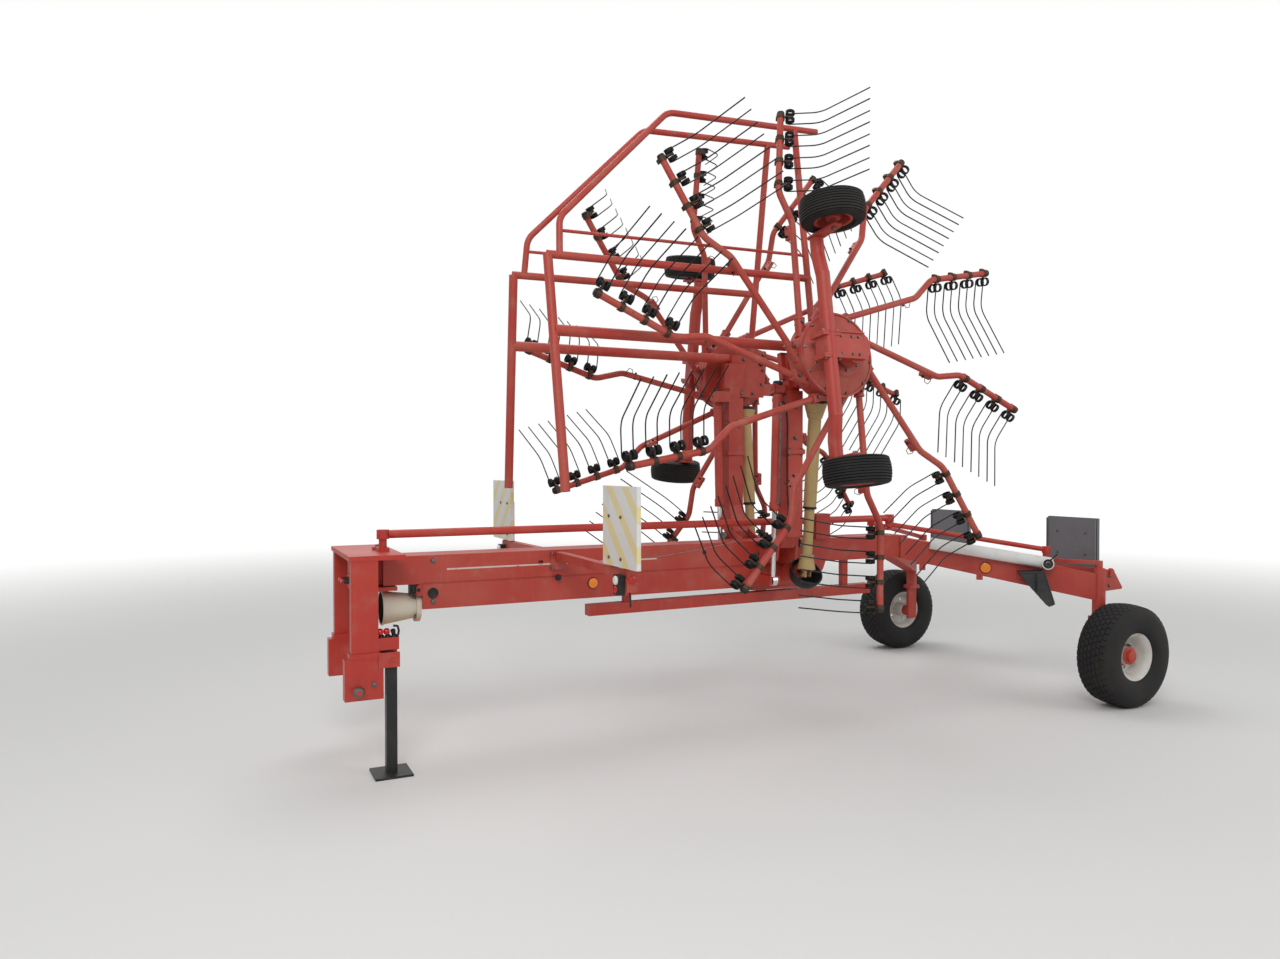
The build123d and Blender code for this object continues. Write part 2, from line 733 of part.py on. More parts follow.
cylinder_length = (cylinder_foot - cylinder_top).length
with BuildPart() as lift_rod:
    bar(on_cylinder(barrel_length - 260), on_cylinder(cylinder_length - 30), 17.7)
    bar(
        (cylinder_foot.X - 18, cylinder_foot.Y, cylinder_foot.Z),
        (cylinder_foot.X + 18, cylinder_foot.Y, cylinder_foot.Z),
        34,
    )
finish_pair(lift_rod.part, "lift_rod")

# Drive shafts to the rotors: two telescoping halves under guards
shaft_start = Vector(fwd(output_x), joint_y, output_z)
input_out = 945
input_height = 800
shaft_end_point = unit.from_local_coords((fwd(output_x), input_out, input_height))
shaft_end = Vector(fwd(output_x), shaft_end_point.Y, shaft_end_point.Z)
shaft_axis = (shaft_end - shaft_start).normalized()
shaft_length = (shaft_end - shaft_start).length


def on_shaft(distance):
    """A point on the drive shaft's axis, from its lower joint."""
    return tuple(shaft_start + shaft_axis * distance)


fork_slot_radius = 48
with BuildPart() as shaft_lower:
    bar(on_shaft(-28), on_shaft(30), 34)
    taper(on_shaft(25), on_shaft(120), 62, 40)
    bar(on_shaft(115), on_shaft(700), 34)
    # Fork of the universal joint
    bar(
        (shaft_start.X - 15, shaft_start.Y, shaft_start.Z),
        (shaft_start.X + 15, shaft_start.Y, shaft_start.Z),
        fork_slot_radius,
        mode=Mode.SUBTRACT,
    )
    bar(
        (shaft_start.X - 40, shaft_start.Y, shaft_start.Z),
        (shaft_start.X + 40, shaft_start.Y, shaft_start.Z),
        10 + running_gap,
        mode=Mode.SUBTRACT,
    )
finish_pair(shaft_lower.part, "shaft_lower")

with BuildPart() as shaft_upper:
    bar(on_shaft(440), on_shaft(shaft_length - 150), 43)
    taper(on_shaft(shaft_length - 160), on_shaft(shaft_length - 60), 46, 76)
    bar(on_shaft(shaft_length - 65), on_shaft(shaft_length - 34), 30)
    bar(on_shaft(439), on_shaft(shaft_length - 200), 34 + running_gap, mode=Mode.SUBTRACT)
finish_pair(shaft_upper.part, "shaft_upper")

# Rotor head: the gearbox over the hub, saddled on the inner arm
head_low = 706
with BuildPart(unit) as rotor_head:
    block((fwd(rotor_x - 150), fwd(rotor_x + 150)), (rotor_out - 150, rotor_out + 150), (head_low, 850))
    bar((fwd(rotor_x), rotor_out, 345), (fwd(rotor_x), rotor_out, head_low + 1), column_radius)
    bar((fwd(rotor_x), rotor_out, 680), (fwd(rotor_x), rotor_out, head_low + 1), 130)
    bar(
        (fwd(output_x), rotor_out - 200, input_height - 20),
        (fwd(output_x), rotor_out - 140, input_height - 20),
        44,
    )
    block((fwd(arm_x - 70), fwd(arm_x + 70)), (rotor_out - 90, rotor_out + 90), (849, 890))
    block((fwd(rotor_x + 20), fwd(gauge_x + 46)), (rotor_out - 70, rotor_out + 70), (330, 420))
    bar((fwd(rotor_x), rotor_out, 330), (fwd(rotor_x), rotor_out, 420), 105)
    for low, high in ((-70, -56), (56, 70)):
        block((fwd(gauge_x - 66), fwd(gauge_x + 66)), (rotor_out + low, rotor_out + high), (306, 444))
with BuildPart() as carriage:
    add(rotor_head.part)
    block(inner_arm_x, inner_arm_y, (1500, 2400))
    # Wear pads at the inner arm's foot
    block(
        (inner_arm_x[0] - slide_gap + running_gap, inner_arm_x[1] + slide_gap - running_gap),
        (inner_arm_y[0] - slide_gap + running_gap, inner_arm_y[1] + slide_gap - running_gap),
        (1500, 1580),
    )
finish_pair(carriage.part, "carriage")

# Undercarriage of each rotor: a box tube along the gauge wheels' line, with wheel forks
with BuildPart(unit) as undercarriage:
    block((fwd(gauge_x - 45), fwd(gauge_x + 45)), (gauge_inner_out + 150, rotor_out - 70.3), (330, 420))
    block((fwd(gauge_x - 45), fwd(gauge_x + 45)), (rotor_out + 70.3, gauge_outer_out - 150), (330, 420))
    for low, high in ((-84, -70.3), (70.3, 84)):
        block((fwd(gauge_x - 66), fwd(gauge_x + 66)), (rotor_out + low, rotor_out + high), (306, 444))
    for wheel_out, direction in ((gauge_inner_out, 1), (gauge_outer_out, -1)):
        near = wheel_out + direction * (gauge_width / 2 + 12)
        far = wheel_out + direction * (gauge_width / 2 + 26)
        low, high = sorted((near, far))
        block((fwd(gauge_x - 40), fwd(gauge_x + 40)), (low, high), (160, 420))
        tube_end = wheel_out + direction * 151
        low, high = sorted((far, tube_end))
        block((fwd(gauge_x - 40), fwd(gauge_x + 40)), (low, high), (345, 405))
        bar(
            (fwd(gauge_x), far, gauge_radius),
            (fwd(gauge_x), wheel_out - direction * 40, gauge_radius),
            gauge_axle_radius,
        )
finish_pair(undercarriage.part, "undercarriage")

# Gauge wheels, tyre and rim in one
for wheel_out, wheel_name in ((gauge_inner_out, "gauge_wheel_inner"), (gauge_outer_out, "gauge_wheel_outer")):
    with BuildPart() as gauge_wheel:
        hub_plane = Plane(
            origin=unit.from_local_coords((fwd(gauge_x), wheel_out, gauge_radius)), x_dir=unit_out, z_dir=(1, 0, 0)
        )
        with BuildSketch(hub_plane) as wheel_profile:
            with BuildLine():
                Polyline(
                    (-55, gauge_axle_radius + running_gap),
                    (55, gauge_axle_radius + running_gap),
                    (55, 45),
                    (12, 45),
                    (12, 90),
                    (66, 100),
                    (70, gauge_rim_radius + 10),
                    (gauge_width / 2, 140),
                    (gauge_width / 2 - 4, 180),
                    (60, gauge_radius),
                    (-60, gauge_radius),
                    (4 - gauge_width / 2, 180),
                    (-gauge_width / 2, 140),
                    (-70, gauge_rim_radius + 10),
                    (-66, 100),
                    (-12, 90),
                    (-12, 45),
                    (-55, 45),
                    close=True,
                )
            make_face()
        revolve(axis=Axis(hub_plane.origin, unit_out))
    finish_pair(gauge_wheel.part, wheel_name)

# Rotor: the drum with its ten cranked arms
crank_end = tine_first - 54
crank_start = crank_end - arm_crank_length
arm_path = (
    (150, -arm_side_step),
    (crank_start, -arm_side_step),
    (crank_end, -arm_side_step - arm_crank_step),
    (arm_reach, -arm_side_step - arm_crank_step + 62),
)
rotor_centre = unit.from_local_coords((fwd(rotor_x), rotor_out, 0))
rotor_plane = Plane(origin=rotor_centre, x_dir=(1, 0, 0), z_dir=unit_up)


def turned(angle, height):
    """The rotor's plane turned about its axis and raised, for one arm."""
    origin = rotor_plane.from_local_coords((0, 0, height))
    x_dir = rotor_plane.x_dir.rotate(Axis((0, 0, 0), unit_up), angle)
    return Plane(origin=origin, x_dir=x_dir, z_dir=unit_up)


arm_angles = [arm_phase + 360 / arm_count * arm for arm in range(arm_count)]
with BuildPart() as rake_arm:
    bent_pipe(Plane.XY, arm_path, arm_tube_radius, arm_bend_radius)
    bar((120, -arm_side_step, 0), (240, -arm_side_step, 0), arm_tube_radius + 11)
    block(
        (crank_start - 105, crank_start - 15),
        (-arm_side_step - 13, -arm_side_step + 13),
        (arm_tube_radius - 4, arm_tube_radius + 48),
    )

with BuildPart() as rotor:
    with Locations(*[turned(angle, rotor_height) for angle in arm_angles]):
        add(rake_arm.part)
    with Locations(rotor_plane):
        with Locations((0, 0, rotor_height - 1)):
            Cylinder(drum_radius, drum_depth - 2)
        with Locations((0, 0, rotor_height - drum_depth / 2 - 35)):
            Cone(150, drum_radius, 70)
        with Locations((0, 0, rotor_height)):
            Cylinder(column_radius + running_gap, 460, mode=Mode.SUBTRACT)
rotor_left = rotor.part
finish(rotor_left, "rotor_left")

# Tines: each a pair of sprung wires from one coil pack, hung on the arm's trailing side.
# The cam rolls each arm: 15 hangs the tine down to work, 75 carries it flat over the swath.
cam_roll = (18, 25, 15, 62, 74, 75, 75, 75, 50, 25)
with BuildPart() as tine:
    slant = radians(tine_bend)
    upper = Vector(0, -sin(slant), cos(slant))
    coil = upper * coil_offset
    for side in (-1, 1):
        wire_x = side * tine_spread / 2
        outer_face = wire_x + side * tine_wire / 2
        pack_start = min(outer_face, outer_face - side * coil_pack_length)
        with BuildSketch(Plane(origin=coil + Vector(pack_start, 0, 0), x_dir=upper, z_dir=(1, 0, 0))):
            RegularPolygon(coil_radius, 6)
        extrude(amount=coil_pack_length)
        root = coil + Vector(wire_x, 0, 0)
        bend = root + upper * (tine_upper + coil_radius)
        with BuildLine() as wire_path:
            Polyline(root, bend, bend + Vector(0, 0, tine_lower))
        with BuildSketch(Plane(origin=root, x_dir=(1, 0, 0), z_dir=upper)) as wire_section:
            Rectangle(tine_wire, tine_wire)
        sweep(wire_section.sketch, path=wire_path.line, transition=Transition.RIGHT)
    # Saddle between the two coils and the arm
    saddle_low = arm_tube_radius + running_gap
    saddle_width = tine_spread + tine_wire - 2 * coil_pack_length + 4
    with BuildSketch(Plane(origin=upper * saddle_low, x_dir=(1, 0, 0), z_dir=upper)):
        Rectangle(saddle_width, 24)
    extrude(amount=coil_offset - saddle_low)

outer_start = Vector(*arm_path[2])
outer_axis = (Vector(*arm_path[3]) - outer_start).normalized()
tine_places = []
for angle, roll in zip(arm_angles, cam_roll):
    frame = turned(angle, rotor_height)
    along_arm = frame.x_dir * outer_axis.X + frame.y_dir * outer_axis.Y
    trail = unit_up.cross(along_arm)
    lower = trail * sin(radians(roll)) - unit_up * cos(radians(roll))
    for place in range(tines_per_arm):
        distance = tine_first + tine_pitch * place
        side_step = outer_start.Y + (distance - outer_start.X) * outer_axis.Y / outer_axis.X
        clamp = frame.from_local_coords((distance, side_step, 0))
        tine_places.append(Plane(origin=clamp, x_dir=along_arm, z_dir=lower))

with BuildPart() as tines:
    with Locations(*tine_places):
        add(tine.part)
tines_left = tines.part
finish(tines_left, "tines_left")

# The right rotor is the mirror image, a few degrees further round
right_axis = Axis(
    (rotor_centre.X, -rotor_centre.Y, rotor_centre.Z), (unit_up.X, -unit_up.Y, unit_up.Z)
)
finish(mirror(rotor_left, about=Plane.XZ).rotate(right_axis, right_rotor_turn), "rotor_right")
finish(mirror(tines_left, about=Plane.XZ).rotate(right_axis, right_rotor_turn), "tines_right")

# Crop guard: a tubular frame over the rotor, in front and outboard of it
guard_main_out = 1260
guard_upper_out = 1715
guard_front_x = 3920
guard_tubes = (
    # Start and end as forward and outboard, then the height above the guard's plane and the radius
    ((rotor_x + 150.3, guard_main_out), (guard_front_x, guard_main_out), 0, 33),
    ((2085, guard_upper_out + 25), (guard_front_x + 20, guard_upper_out), 2, 24),
    ((2085, 1900), (3850, 1870), 4, 10),
    ((guard_front_x - 15, 320), (guard_front_x + 15, guard_upper_out), 3, 28),
    ((2085, rotor_out + 150.3), (2085, 2795), 1, 22),
)
guard_hoop = ((3862, guard_upper_out), (3850, 1950), (3070, 2745), (1900, 2810))
guard_bend_radius = 130
guard_hoop_radius = 20
with BuildPart(unit) as guard:
    for start, end, lift, radius in guard_tubes:
        height = guard_height + lift
        bar((fwd(start[0]), start[1], height), (fwd(end[0]), end[1], height), radius)
    hoop_points = [(fwd(forward), outboard) for forward, outboard in guard_hoop]
    bent_pipe(unit.offset(guard_height - 1), hoop_points, guard_hoop_radius, guard_bend_radius)
finish_pair(guard.part, "guard")

# Storage tube for papers along the left leg, and the wheel chock in its holder
with BuildPart() as storage_tube:
    tube_front, tube_rear = on_leg(251.7, 99, 1100), on_leg(1079.6, 86.5, 970)
    tube_axis = (tube_rear - tube_front).normalized()
    bar(tuple(tube_front), tuple(tube_rear), 42)
    bar(tuple(tube_rear - tube_axis * 220), tuple(tube_rear + tube_axis), 37, mode=Mode.SUBTRACT)
finish(storage_tube.part, "storage_tube")

with BuildPart() as wheel_chock:
    chock_plane = Plane(origin=on_leg(980, 49.2, 800), x_dir=leg_along, z_dir=leg_outward)
    with BuildSketch(chock_plane):
        with BuildLine():
            Polyline((-130, 110), (40, 120), (110, -110), (70, -130), (-60, 20), (-130, 110))
        make_face()
    extrude(amount=110)
finish(wheel_chock.part, "wheel_chock")
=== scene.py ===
# %% [markdown]
# A twin-rotor rotary rake stands folded on its parking stand. The solids come from the CAD model as
# a fixed frame, and this file only dresses them. It gives every piece its paint, rubber or steel, and
# adds what is too fine for the solids, such as wound coils, tyre blocks, bolts and hoses. Much of that
# could be painted on as texture, but real geometry keeps its outline and its shadow from every side.
# First the frame is loaded.

# %% Load the frame
import math

import bmesh
import bpy
from mathutils import Matrix, Vector


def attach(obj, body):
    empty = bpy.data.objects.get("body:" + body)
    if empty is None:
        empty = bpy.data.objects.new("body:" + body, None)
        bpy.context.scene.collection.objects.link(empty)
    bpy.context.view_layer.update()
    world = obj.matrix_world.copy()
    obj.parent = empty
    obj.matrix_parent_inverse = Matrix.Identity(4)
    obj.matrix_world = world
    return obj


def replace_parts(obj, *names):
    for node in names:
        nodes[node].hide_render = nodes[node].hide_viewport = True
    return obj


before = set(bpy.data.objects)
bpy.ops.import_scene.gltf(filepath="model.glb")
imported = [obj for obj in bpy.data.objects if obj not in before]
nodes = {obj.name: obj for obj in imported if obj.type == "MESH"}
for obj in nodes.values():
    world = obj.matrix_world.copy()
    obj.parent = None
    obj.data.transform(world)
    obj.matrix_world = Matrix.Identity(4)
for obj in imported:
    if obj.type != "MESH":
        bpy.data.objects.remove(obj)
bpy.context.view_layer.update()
axle_x = -2.365

# %% [markdown]
# Shader graphs are easier to read as sums than as boxes and wires. A small class wraps one socket,
# and Python's own operators then add the Math nodes. Anything else, such as a noise, is made by one
# method that takes the node's type, its settings and what goes into its sockets.

# %% Shader maths as expressions
class Wire:
    """One value, colour or vector that travels through a material's nodes."""

    def __init__(self, tree, socket):
        self.tree = tree
        self.socket = socket

    def plug(self, socket, value):
        if isinstance(value, Wire):
            self.tree.links.new(value.socket, socket)
        else:
            socket.default_value = value

    def node(self, kind, settings=None, inputs=None, out=0):
        made = self.tree.nodes.new(kind)
        for key, value in (settings or {}).items():
            setattr(made, key, value)
        for key, value in (inputs or {}).items():
            self.plug(made.inputs[key], value)
        return Wire(self.tree, made.outputs[out])

    def sum_of(self, operation, a, b=None):
        inputs = {0: a} if b is None else {0: a, 1: b}
        return self.node("ShaderNodeMath", {"operation": operation}, inputs)

    def __add__(self, other):
        return self.sum_of("ADD", self, other)

    def __radd__(self, other):
        return self.sum_of("ADD", other, self)

    def __sub__(self, other):
        return self.sum_of("SUBTRACT", self, other)

    def __rsub__(self, other):
        return self.sum_of("SUBTRACT", other, self)

    def __mul__(self, other):
        return self.sum_of("MULTIPLY", self, other)

    def __rmul__(self, other):
        return self.sum_of("MULTIPLY", other, self)

    def __truediv__(self, other):
        return self.sum_of("DIVIDE", self, other)

    def __gt__(self, other):
        return self.sum_of("GREATER_THAN", self, other)

    def __lt__(self, other):
        return self.sum_of("LESS_THAN", self, other)

    def fraction(self):
        return self.sum_of("FRACT", self)

    def size(self):
        return self.sum_of("ABSOLUTE", self)

    def between(self, low, high):
        """0 below low, 1 above high, a smooth step in between."""
        values = {"Value": self, "From Min": low, "From Max": high}
        return self.node("ShaderNodeMapRange", {"interpolation_type": "SMOOTHSTEP"}, values)

    def tint(self, amount, colour, other):
        """Two colours mixed: an amount of 0 gives the first, and 1 the other."""
        made = self.tree.nodes.new("ShaderNodeMix")
        made.data_type = "RGBA"
        for key, value in ((0, amount), (6, colour), (7, other)):
            if not isinstance(value, Wire) and key > 0:
                value = (*value, 1)
            self.plug(made.inputs[key], value)
        return Wire(self.tree, made.outputs[2])


# %% [markdown]
# Every finish starts the same way: a fresh material, the piece's own coordinates in metres, and one
# Principled shader. World coordinates would be simpler still, but then rust and dust would slide over a
# wheel that turns. The piece's own coordinates turn with it.

# %% Start and close a finish
def finish(name):
    material = bpy.data.materials.new(name)
    material.use_nodes = True
    tree = material.node_tree
    tree.nodes.clear()
    place = Wire(tree, tree.nodes.new("ShaderNodeTexCoord").outputs["Object"])
    shader = tree.nodes.new("ShaderNodeBsdfPrincipled")
    output = tree.nodes.new("ShaderNodeOutputMaterial")
    tree.links.new(shader.outputs[0], output.inputs[0])
    return material, place, shader


def set_shader(place, shader, **values):
    for key, value in values.items():
        socket = shader.inputs[key.replace("_", " ")]
        if isinstance(value, tuple) and len(value) == 3:
            value = (*value, 1)
        place.plug(socket, value)


def noise(place, scale, detail=3.0, rough=0.55):
    values = {"Vector": place, "Scale": scale, "Detail": detail, "Roughness": rough}
    return place.node("ShaderNodeTexNoise", None, values)


def stretched(place, along):
    return place.node("ShaderNodeVectorMath", {"operation": "MULTIPLY"}, {0: place, 1: along})


def axis_of(place, which):
    return place.node("ShaderNodeSeparateXYZ", None, {"Vector": place}, out=which)


def bump(place, height, strength, distance):
    values = {"Height": height, "Strength": strength, "Distance": distance}
    return place.node("ShaderNodeBump", None, values)


# %% [markdown]
# The paint is an orange red that years outdoors have turned pale and pinkish in patches. A photograph
# could be wrapped round the metal, but it would bring its own light and shadows along, so the paint is
# mixed from noise. Large soft noise bleaches it, thin upright streaks are where rain ran down, a fine
# mottle is dust, and a few hard-edged specks let brown rust through. The same recipe, with less of
# each, is the newer paint, and the beam's paint adds the pale line along its side.

# %% Faded red paint
soil_brown, rust_brown, stripe_cream = (0.36, 0.27, 0.19), (0.10, 0.045, 0.022), (0.62, 0.52, 0.46)
stripe_back, stripe_front = 3.115 + axle_x, 4.479 + axle_x
stripe_low, stripe_high = 1.0635, 1.0725


def red_paint(name, fresh, bleached, fade, dust, rust, rough, stripe=False):
    material, place, shader = finish(name)
    patches = noise(place, 2.3, 4).between(0.38, 0.72) * fade
    streaks = noise(stretched(place, (26, 26, 2.2)), 1.0, 3).between(0.55, 0.8) * (fade * 0.5)
    colour = place.tint(patches, fresh, bleached)
    colour = place.tint(streaks, colour, tuple(c * 1.15 for c in bleached))
    soil = noise(place, 9.0, 5).between(0.5, 0.85) * dust
    colour = place.tint(soil, colour, soil_brown)
    if stripe:
        forward, height = axis_of(place, 0), axis_of(place, 2)
        long = (forward > stripe_back) * (forward < stripe_front)
        line = (height > stripe_low) * (height < stripe_high) * long
        chipped = noise(place, 38.0, 3).between(0.66, 0.72)
        colour = place.tint(line * (1.0 - chipped), colour, stripe_cream)
    specks = noise(place, 55.0, 4, 0.7).between(0.70 - 0.06 * rust, 0.74 - 0.06 * rust) * min(1.0, rust)
    colour = place.tint(specks, colour, rust_brown)
    grain = noise(place, 220.0, 2)
    set_shader(
        place,
        shader,
        Base_Color=colour,
        Roughness=rough + 0.22 * patches + 0.2 * specks + 0.15 * soil,
        Normal=bump(place, grain - specks, 0.25, 0.0006),
    )
    return material


fresh_red, bleached_red = (0.42, 0.036, 0.022), (0.46, 0.095, 0.065)
old_red = red_paint("old_red_paint", fresh_red, bleached_red, 0.6, 0.30, 0.7, 0.46)
beam_red = red_paint("beam_red_paint", fresh_red, bleached_red, 0.5, 0.26, 0.6, 0.44, stripe=True)
bright_red = red_paint("bright_red_paint", (0.46, 0.030, 0.018), (0.48, 0.075, 0.045), 0.45, 0.22, 0.4, 0.38)
rotor_red = red_paint("rotor_red_paint", (0.41, 0.042, 0.026), (0.46, 0.11, 0.08), 0.6, 0.40, 1.0, 0.50)
print("red paints", [paint.name for paint in (old_red, beam_red, bright_red, rotor_red)])

# %% [markdown]
# Black parts are worn satin enamel or plastic, and none is a pure black outdoors: dust lifts it
# to a dark grey. A dust layer could be a second shader on top, but one noise that mixes the colour and
# roughens the surface looks the same from here and bakes cleanly.

# %% Black enamel, plastic and rubber
def dark_finish(name, colour, dust_colour, dust, rough, scale):
    material, place, shader = finish(name)
    cloud = noise(place, scale, 5).between(0.42, 0.8) * dust
    fine = noise(place, scale * 14, 3)
    set_shader(
        place,
        shader,
        Base_Color=place.tint(cloud, colour, dust_colour),
        Roughness=rough + 0.25 * cloud + 0.08 * fine,
        Normal=bump(place, fine, 0.3, 0.0008),
    )
    shader.inputs["Specular IOR Level"].default_value = 0.32
    return material


black_enamel = dark_finish("black_enamel", (0.016, 0.016, 0.017), (0.070, 0.060, 0.048), 0.40, 0.42, 7)
black_plastic = dark_finish("black_plastic", (0.011, 0.011, 0.012), (0.055, 0.050, 0.044), 0.30, 0.5, 9)
tyre_rubber = dark_finish("tyre_rubber", (0.010, 0.010, 0.0105), (0.045, 0.038, 0.030), 0.55, 0.68, 6)
grey_plastic = dark_finish("dark_grey_plastic", (0.030, 0.032, 0.035), (0.095, 0.085, 0.070), 0.45, 0.5, 8)
print("with the dark finishes", len(bpy.data.materials))

# %% [markdown]
# Bare metal comes in five kinds here: the chromed rods of the lift cylinders, dull steel pins and
# shafts with a brown bloom, the dark spring steel of the tines, the rusty straps that hold them, and
# bolt heads. Where the bloom covers the metal it is no longer a mirror, so the same noise that turns the
# colour also lowers Metallic and raises Roughness.

# %% Metals
def metal(name, colour, bloom, amount, rough, scale=18):
    material, place, shader = finish(name)
    cloud = noise(place, scale, 5).between(0.45, 0.75) * amount
    set_shader(
        place,
        shader,
        Base_Color=place.tint(cloud, colour, bloom),
        Metallic=1.0 - 0.7 * cloud,
        Roughness=rough + 0.35 * cloud + 0.06 * noise(place, scale * 9, 2),
    )
    return material


chrome = metal("chromed_steel", (0.72, 0.72, 0.72), (0.35, 0.32, 0.28), 0.2, 0.08)
bare_steel = metal("dull_steel", (0.42, 0.41, 0.40), (0.16, 0.09, 0.05), 0.7, 0.34)
spring_steel = metal("spring_steel", (0.028, 0.028, 0.030), (0.024, 0.018, 0.014), 0.6, 0.40)
rusty_steel = metal("rusty_steel", (0.090, 0.062, 0.045), (0.085, 0.036, 0.018), 1.0, 0.60, 30)
dark_bolt = metal("bolt_steel", (0.16, 0.15, 0.145), (0.10, 0.055, 0.03), 0.8, 0.42, 40)
print("with the metals", len(bpy.data.materials))

# %% [markdown]
# The rest is smooth sheet or plastic with soil in patches: the road rims' chalky white enamel, the
# white storage tube, the grey backs of the warning boards, the ochre guards of the drive shafts, and
# the coloured lenses of lamps and reflectors. They differ in colour, soil and polish alone, so one
# recipe with those as values does for all of them.

# %% Pale finishes
def pale_finish(name, colour, soil_colour, amount, rough, scale):
    material, place, shader = finish(name)
    cloud = noise(place, scale, 5).between(0.45, 0.85) * amount
    set_shader(
        place,
        shader,
        Base_Color=place.tint(cloud, colour, soil_colour),
        Roughness=rough + 0.2 * cloud,
        Normal=bump(place, noise(place, scale * 12, 2), 0.15, 0.0005),
    )
    return material


rim_white = pale_finish("rim_enamel", (0.62, 0.60, 0.56), (0.30, 0.24, 0.17), 0.6, 0.45, 9)
tube_white = pale_finish("white_plastic", (0.70, 0.70, 0.68), (0.42, 0.38, 0.32), 0.4, 0.38, 8)
board_grey = pale_finish("grey_sheet", (0.145, 0.150, 0.165), (0.11, 0.105, 0.095), 0.6, 0.42, 7)
guard_tan = pale_finish("shaft_guard_plastic", (0.50, 0.36, 0.15), (0.26, 0.20, 0.12), 0.5, 0.55, 7)
amber_plastic = pale_finish("amber_lens", (0.90, 0.24, 0.010), (0.55, 0.20, 0.04), 0.4, 0.22, 30)
clear_plastic = pale_finish("clear_lens", (0.78, 0.78, 0.76), (0.45, 0.42, 0.38), 0.4, 0.15, 30)
red_plastic = pale_finish("red_lens", (0.55, 0.012, 0.010), (0.30, 0.05, 0.03), 0.4, 0.2, 30)
print("finishes so far", len(bpy.data.materials))

# %% [markdown]
# The guard cone over the input shaft is cream above and tan towards the bottom. The change follows
# height, not the cone's own length, so the height over the ground picks the colour, and a little noise
# breaks the edge between the two.

# %% Cone, cream above and tan below
def cone_finish(name):
    material, place, shader = finish(name)
    height = axis_of(place, 2) + 0.03 * noise(place, 9, 3)
    # Cream above and tan towards the bottom, picked by height over the ground.
    upper_cream = height.between(0.77, 0.86)
    colour = place.tint(upper_cream, (0.46, 0.30, 0.14), (0.69, 0.64, 0.52))
    grime = noise(place, 11, 5).between(0.5, 0.85) * 0.35
    colour = place.tint(grime, colour, (0.26, 0.20, 0.13))
    set_shader(place, shader, Base_Color=colour, Roughness=0.48 + 0.3 * grime)
    return material


cone_cream = cone_finish("cone_plastic")
print("cone", cone_cream.name)

# %% [markdown]
# The front warning boards carry diagonal stripes that the sun has bleached to a pale yellow on white.
# A picture of the stripes would need its own unwrapped map. A saw wave of the board's own height plus
# its distance from the middle of the machine, cut at two levels, needs none and stays sharp at any
# size, and the stripes lean opposite ways on the two boards, as real pairs do.

# %% Striped board
def striped_board(name, pitch=0.2):
    material, place, shader = finish(name)
    across, height = axis_of(place, 1), axis_of(place, 2)
    saw = ((across.size() + height) / pitch).fraction()
    yellow = (saw > 0.04) * (saw < 0.46)
    worn = noise(place, 14, 4).between(0.5, 0.8) * 0.5
    colour = place.tint(yellow * (1.0 - worn * 0.8), (0.74, 0.74, 0.72), (0.78, 0.66, 0.34))
    colour = place.tint(noise(place, 6, 4).between(0.55, 0.8) * 0.35, colour, (0.48, 0.44, 0.36))
    set_shader(place, shader, Base_Color=colour, Roughness=0.36 + 0.2 * worn)
    return material


board_stripes = striped_board("striped_board")
print("striped board", board_stripes.name)

# %% [markdown]
# Each solid now gets its finish by name. The finishes could be dragged onto the objects by hand, but a
# table says at one glance what is made of what, and a pair on the left and the right shares one entry.

# %% Dress the solids
finish_of = {
    "main_beam": beam_red,
    "rear_frame": old_red,
    "rear_board_carriers": old_red,
    "front_board_carriers": old_red,
    "central_gearbox": old_red,
    "lower_tube": old_red,
    "pivot_brackets": old_red,
    "lift_arm": old_red,
    "carriage": old_red,
    "undercarriage": old_red,
    "guard": old_red,
    "rotor": rotor_red,
    "lift_barrel": old_red,
    "knuckle": old_red,
    "steering_lever": old_red,
    "headstock": bright_red,
    "steering_rod": bright_red,
    "track_tube": bright_red,
    "parking_stand": black_enamel,
    "rear_boards": board_grey,
    "front_boards": board_stripes,
    "input_guard": cone_cream,
    "input_shaft": bare_steel,
    "lift_rod": chrome,
    "shaft_lower": guard_tan,
    "shaft_upper": guard_tan,
    "road_rim": rim_white,
    "road_tyre": tyre_rubber,
    "gauge_wheel_inner": tyre_rubber,
    "gauge_wheel_outer": tyre_rubber,
    "tines": spring_steel,
    "storage_tube": tube_white,
    "wheel_chock": grey_plastic,
}


def plain_name(node):
    return node.removesuffix("_left").removesuffix("_right")


for node_name, node in nodes.items():
    node.data.materials.clear()
    node.data.materials.append(finish_of[plain_name(node_name)])
print("finished", len(nodes), "solids in", len(set(finish_of.values())), "materials")

# %% [markdown]
# The fine pieces are built as plain meshes. They could be primitives with modifiers, but hundreds of
# bolts and coils are lighter as one mesh a piece, and a list of numbers is easy to change. A form
# collects corners and faces from a few kinds of run: a tube along a path, a profile turned about an
# axis, and an outline pushed to a thickness. Each face remembers the finish that was in use when it was
# made, so one piece can hold several.

# %% Forms
def round_steps(count, start=0.0):
    """The angles of so many even steps round a full turn."""
    return [start + 2 * math.pi * k / count for k in range(count)]


def circle(centre, side, other, radius, count, start=0.0):
    """Places evenly round a centre, from one direction towards the other."""
    return [centre + (side * math.cos(t) + other * math.sin(t)) * radius for t in round_steps(count, start)]


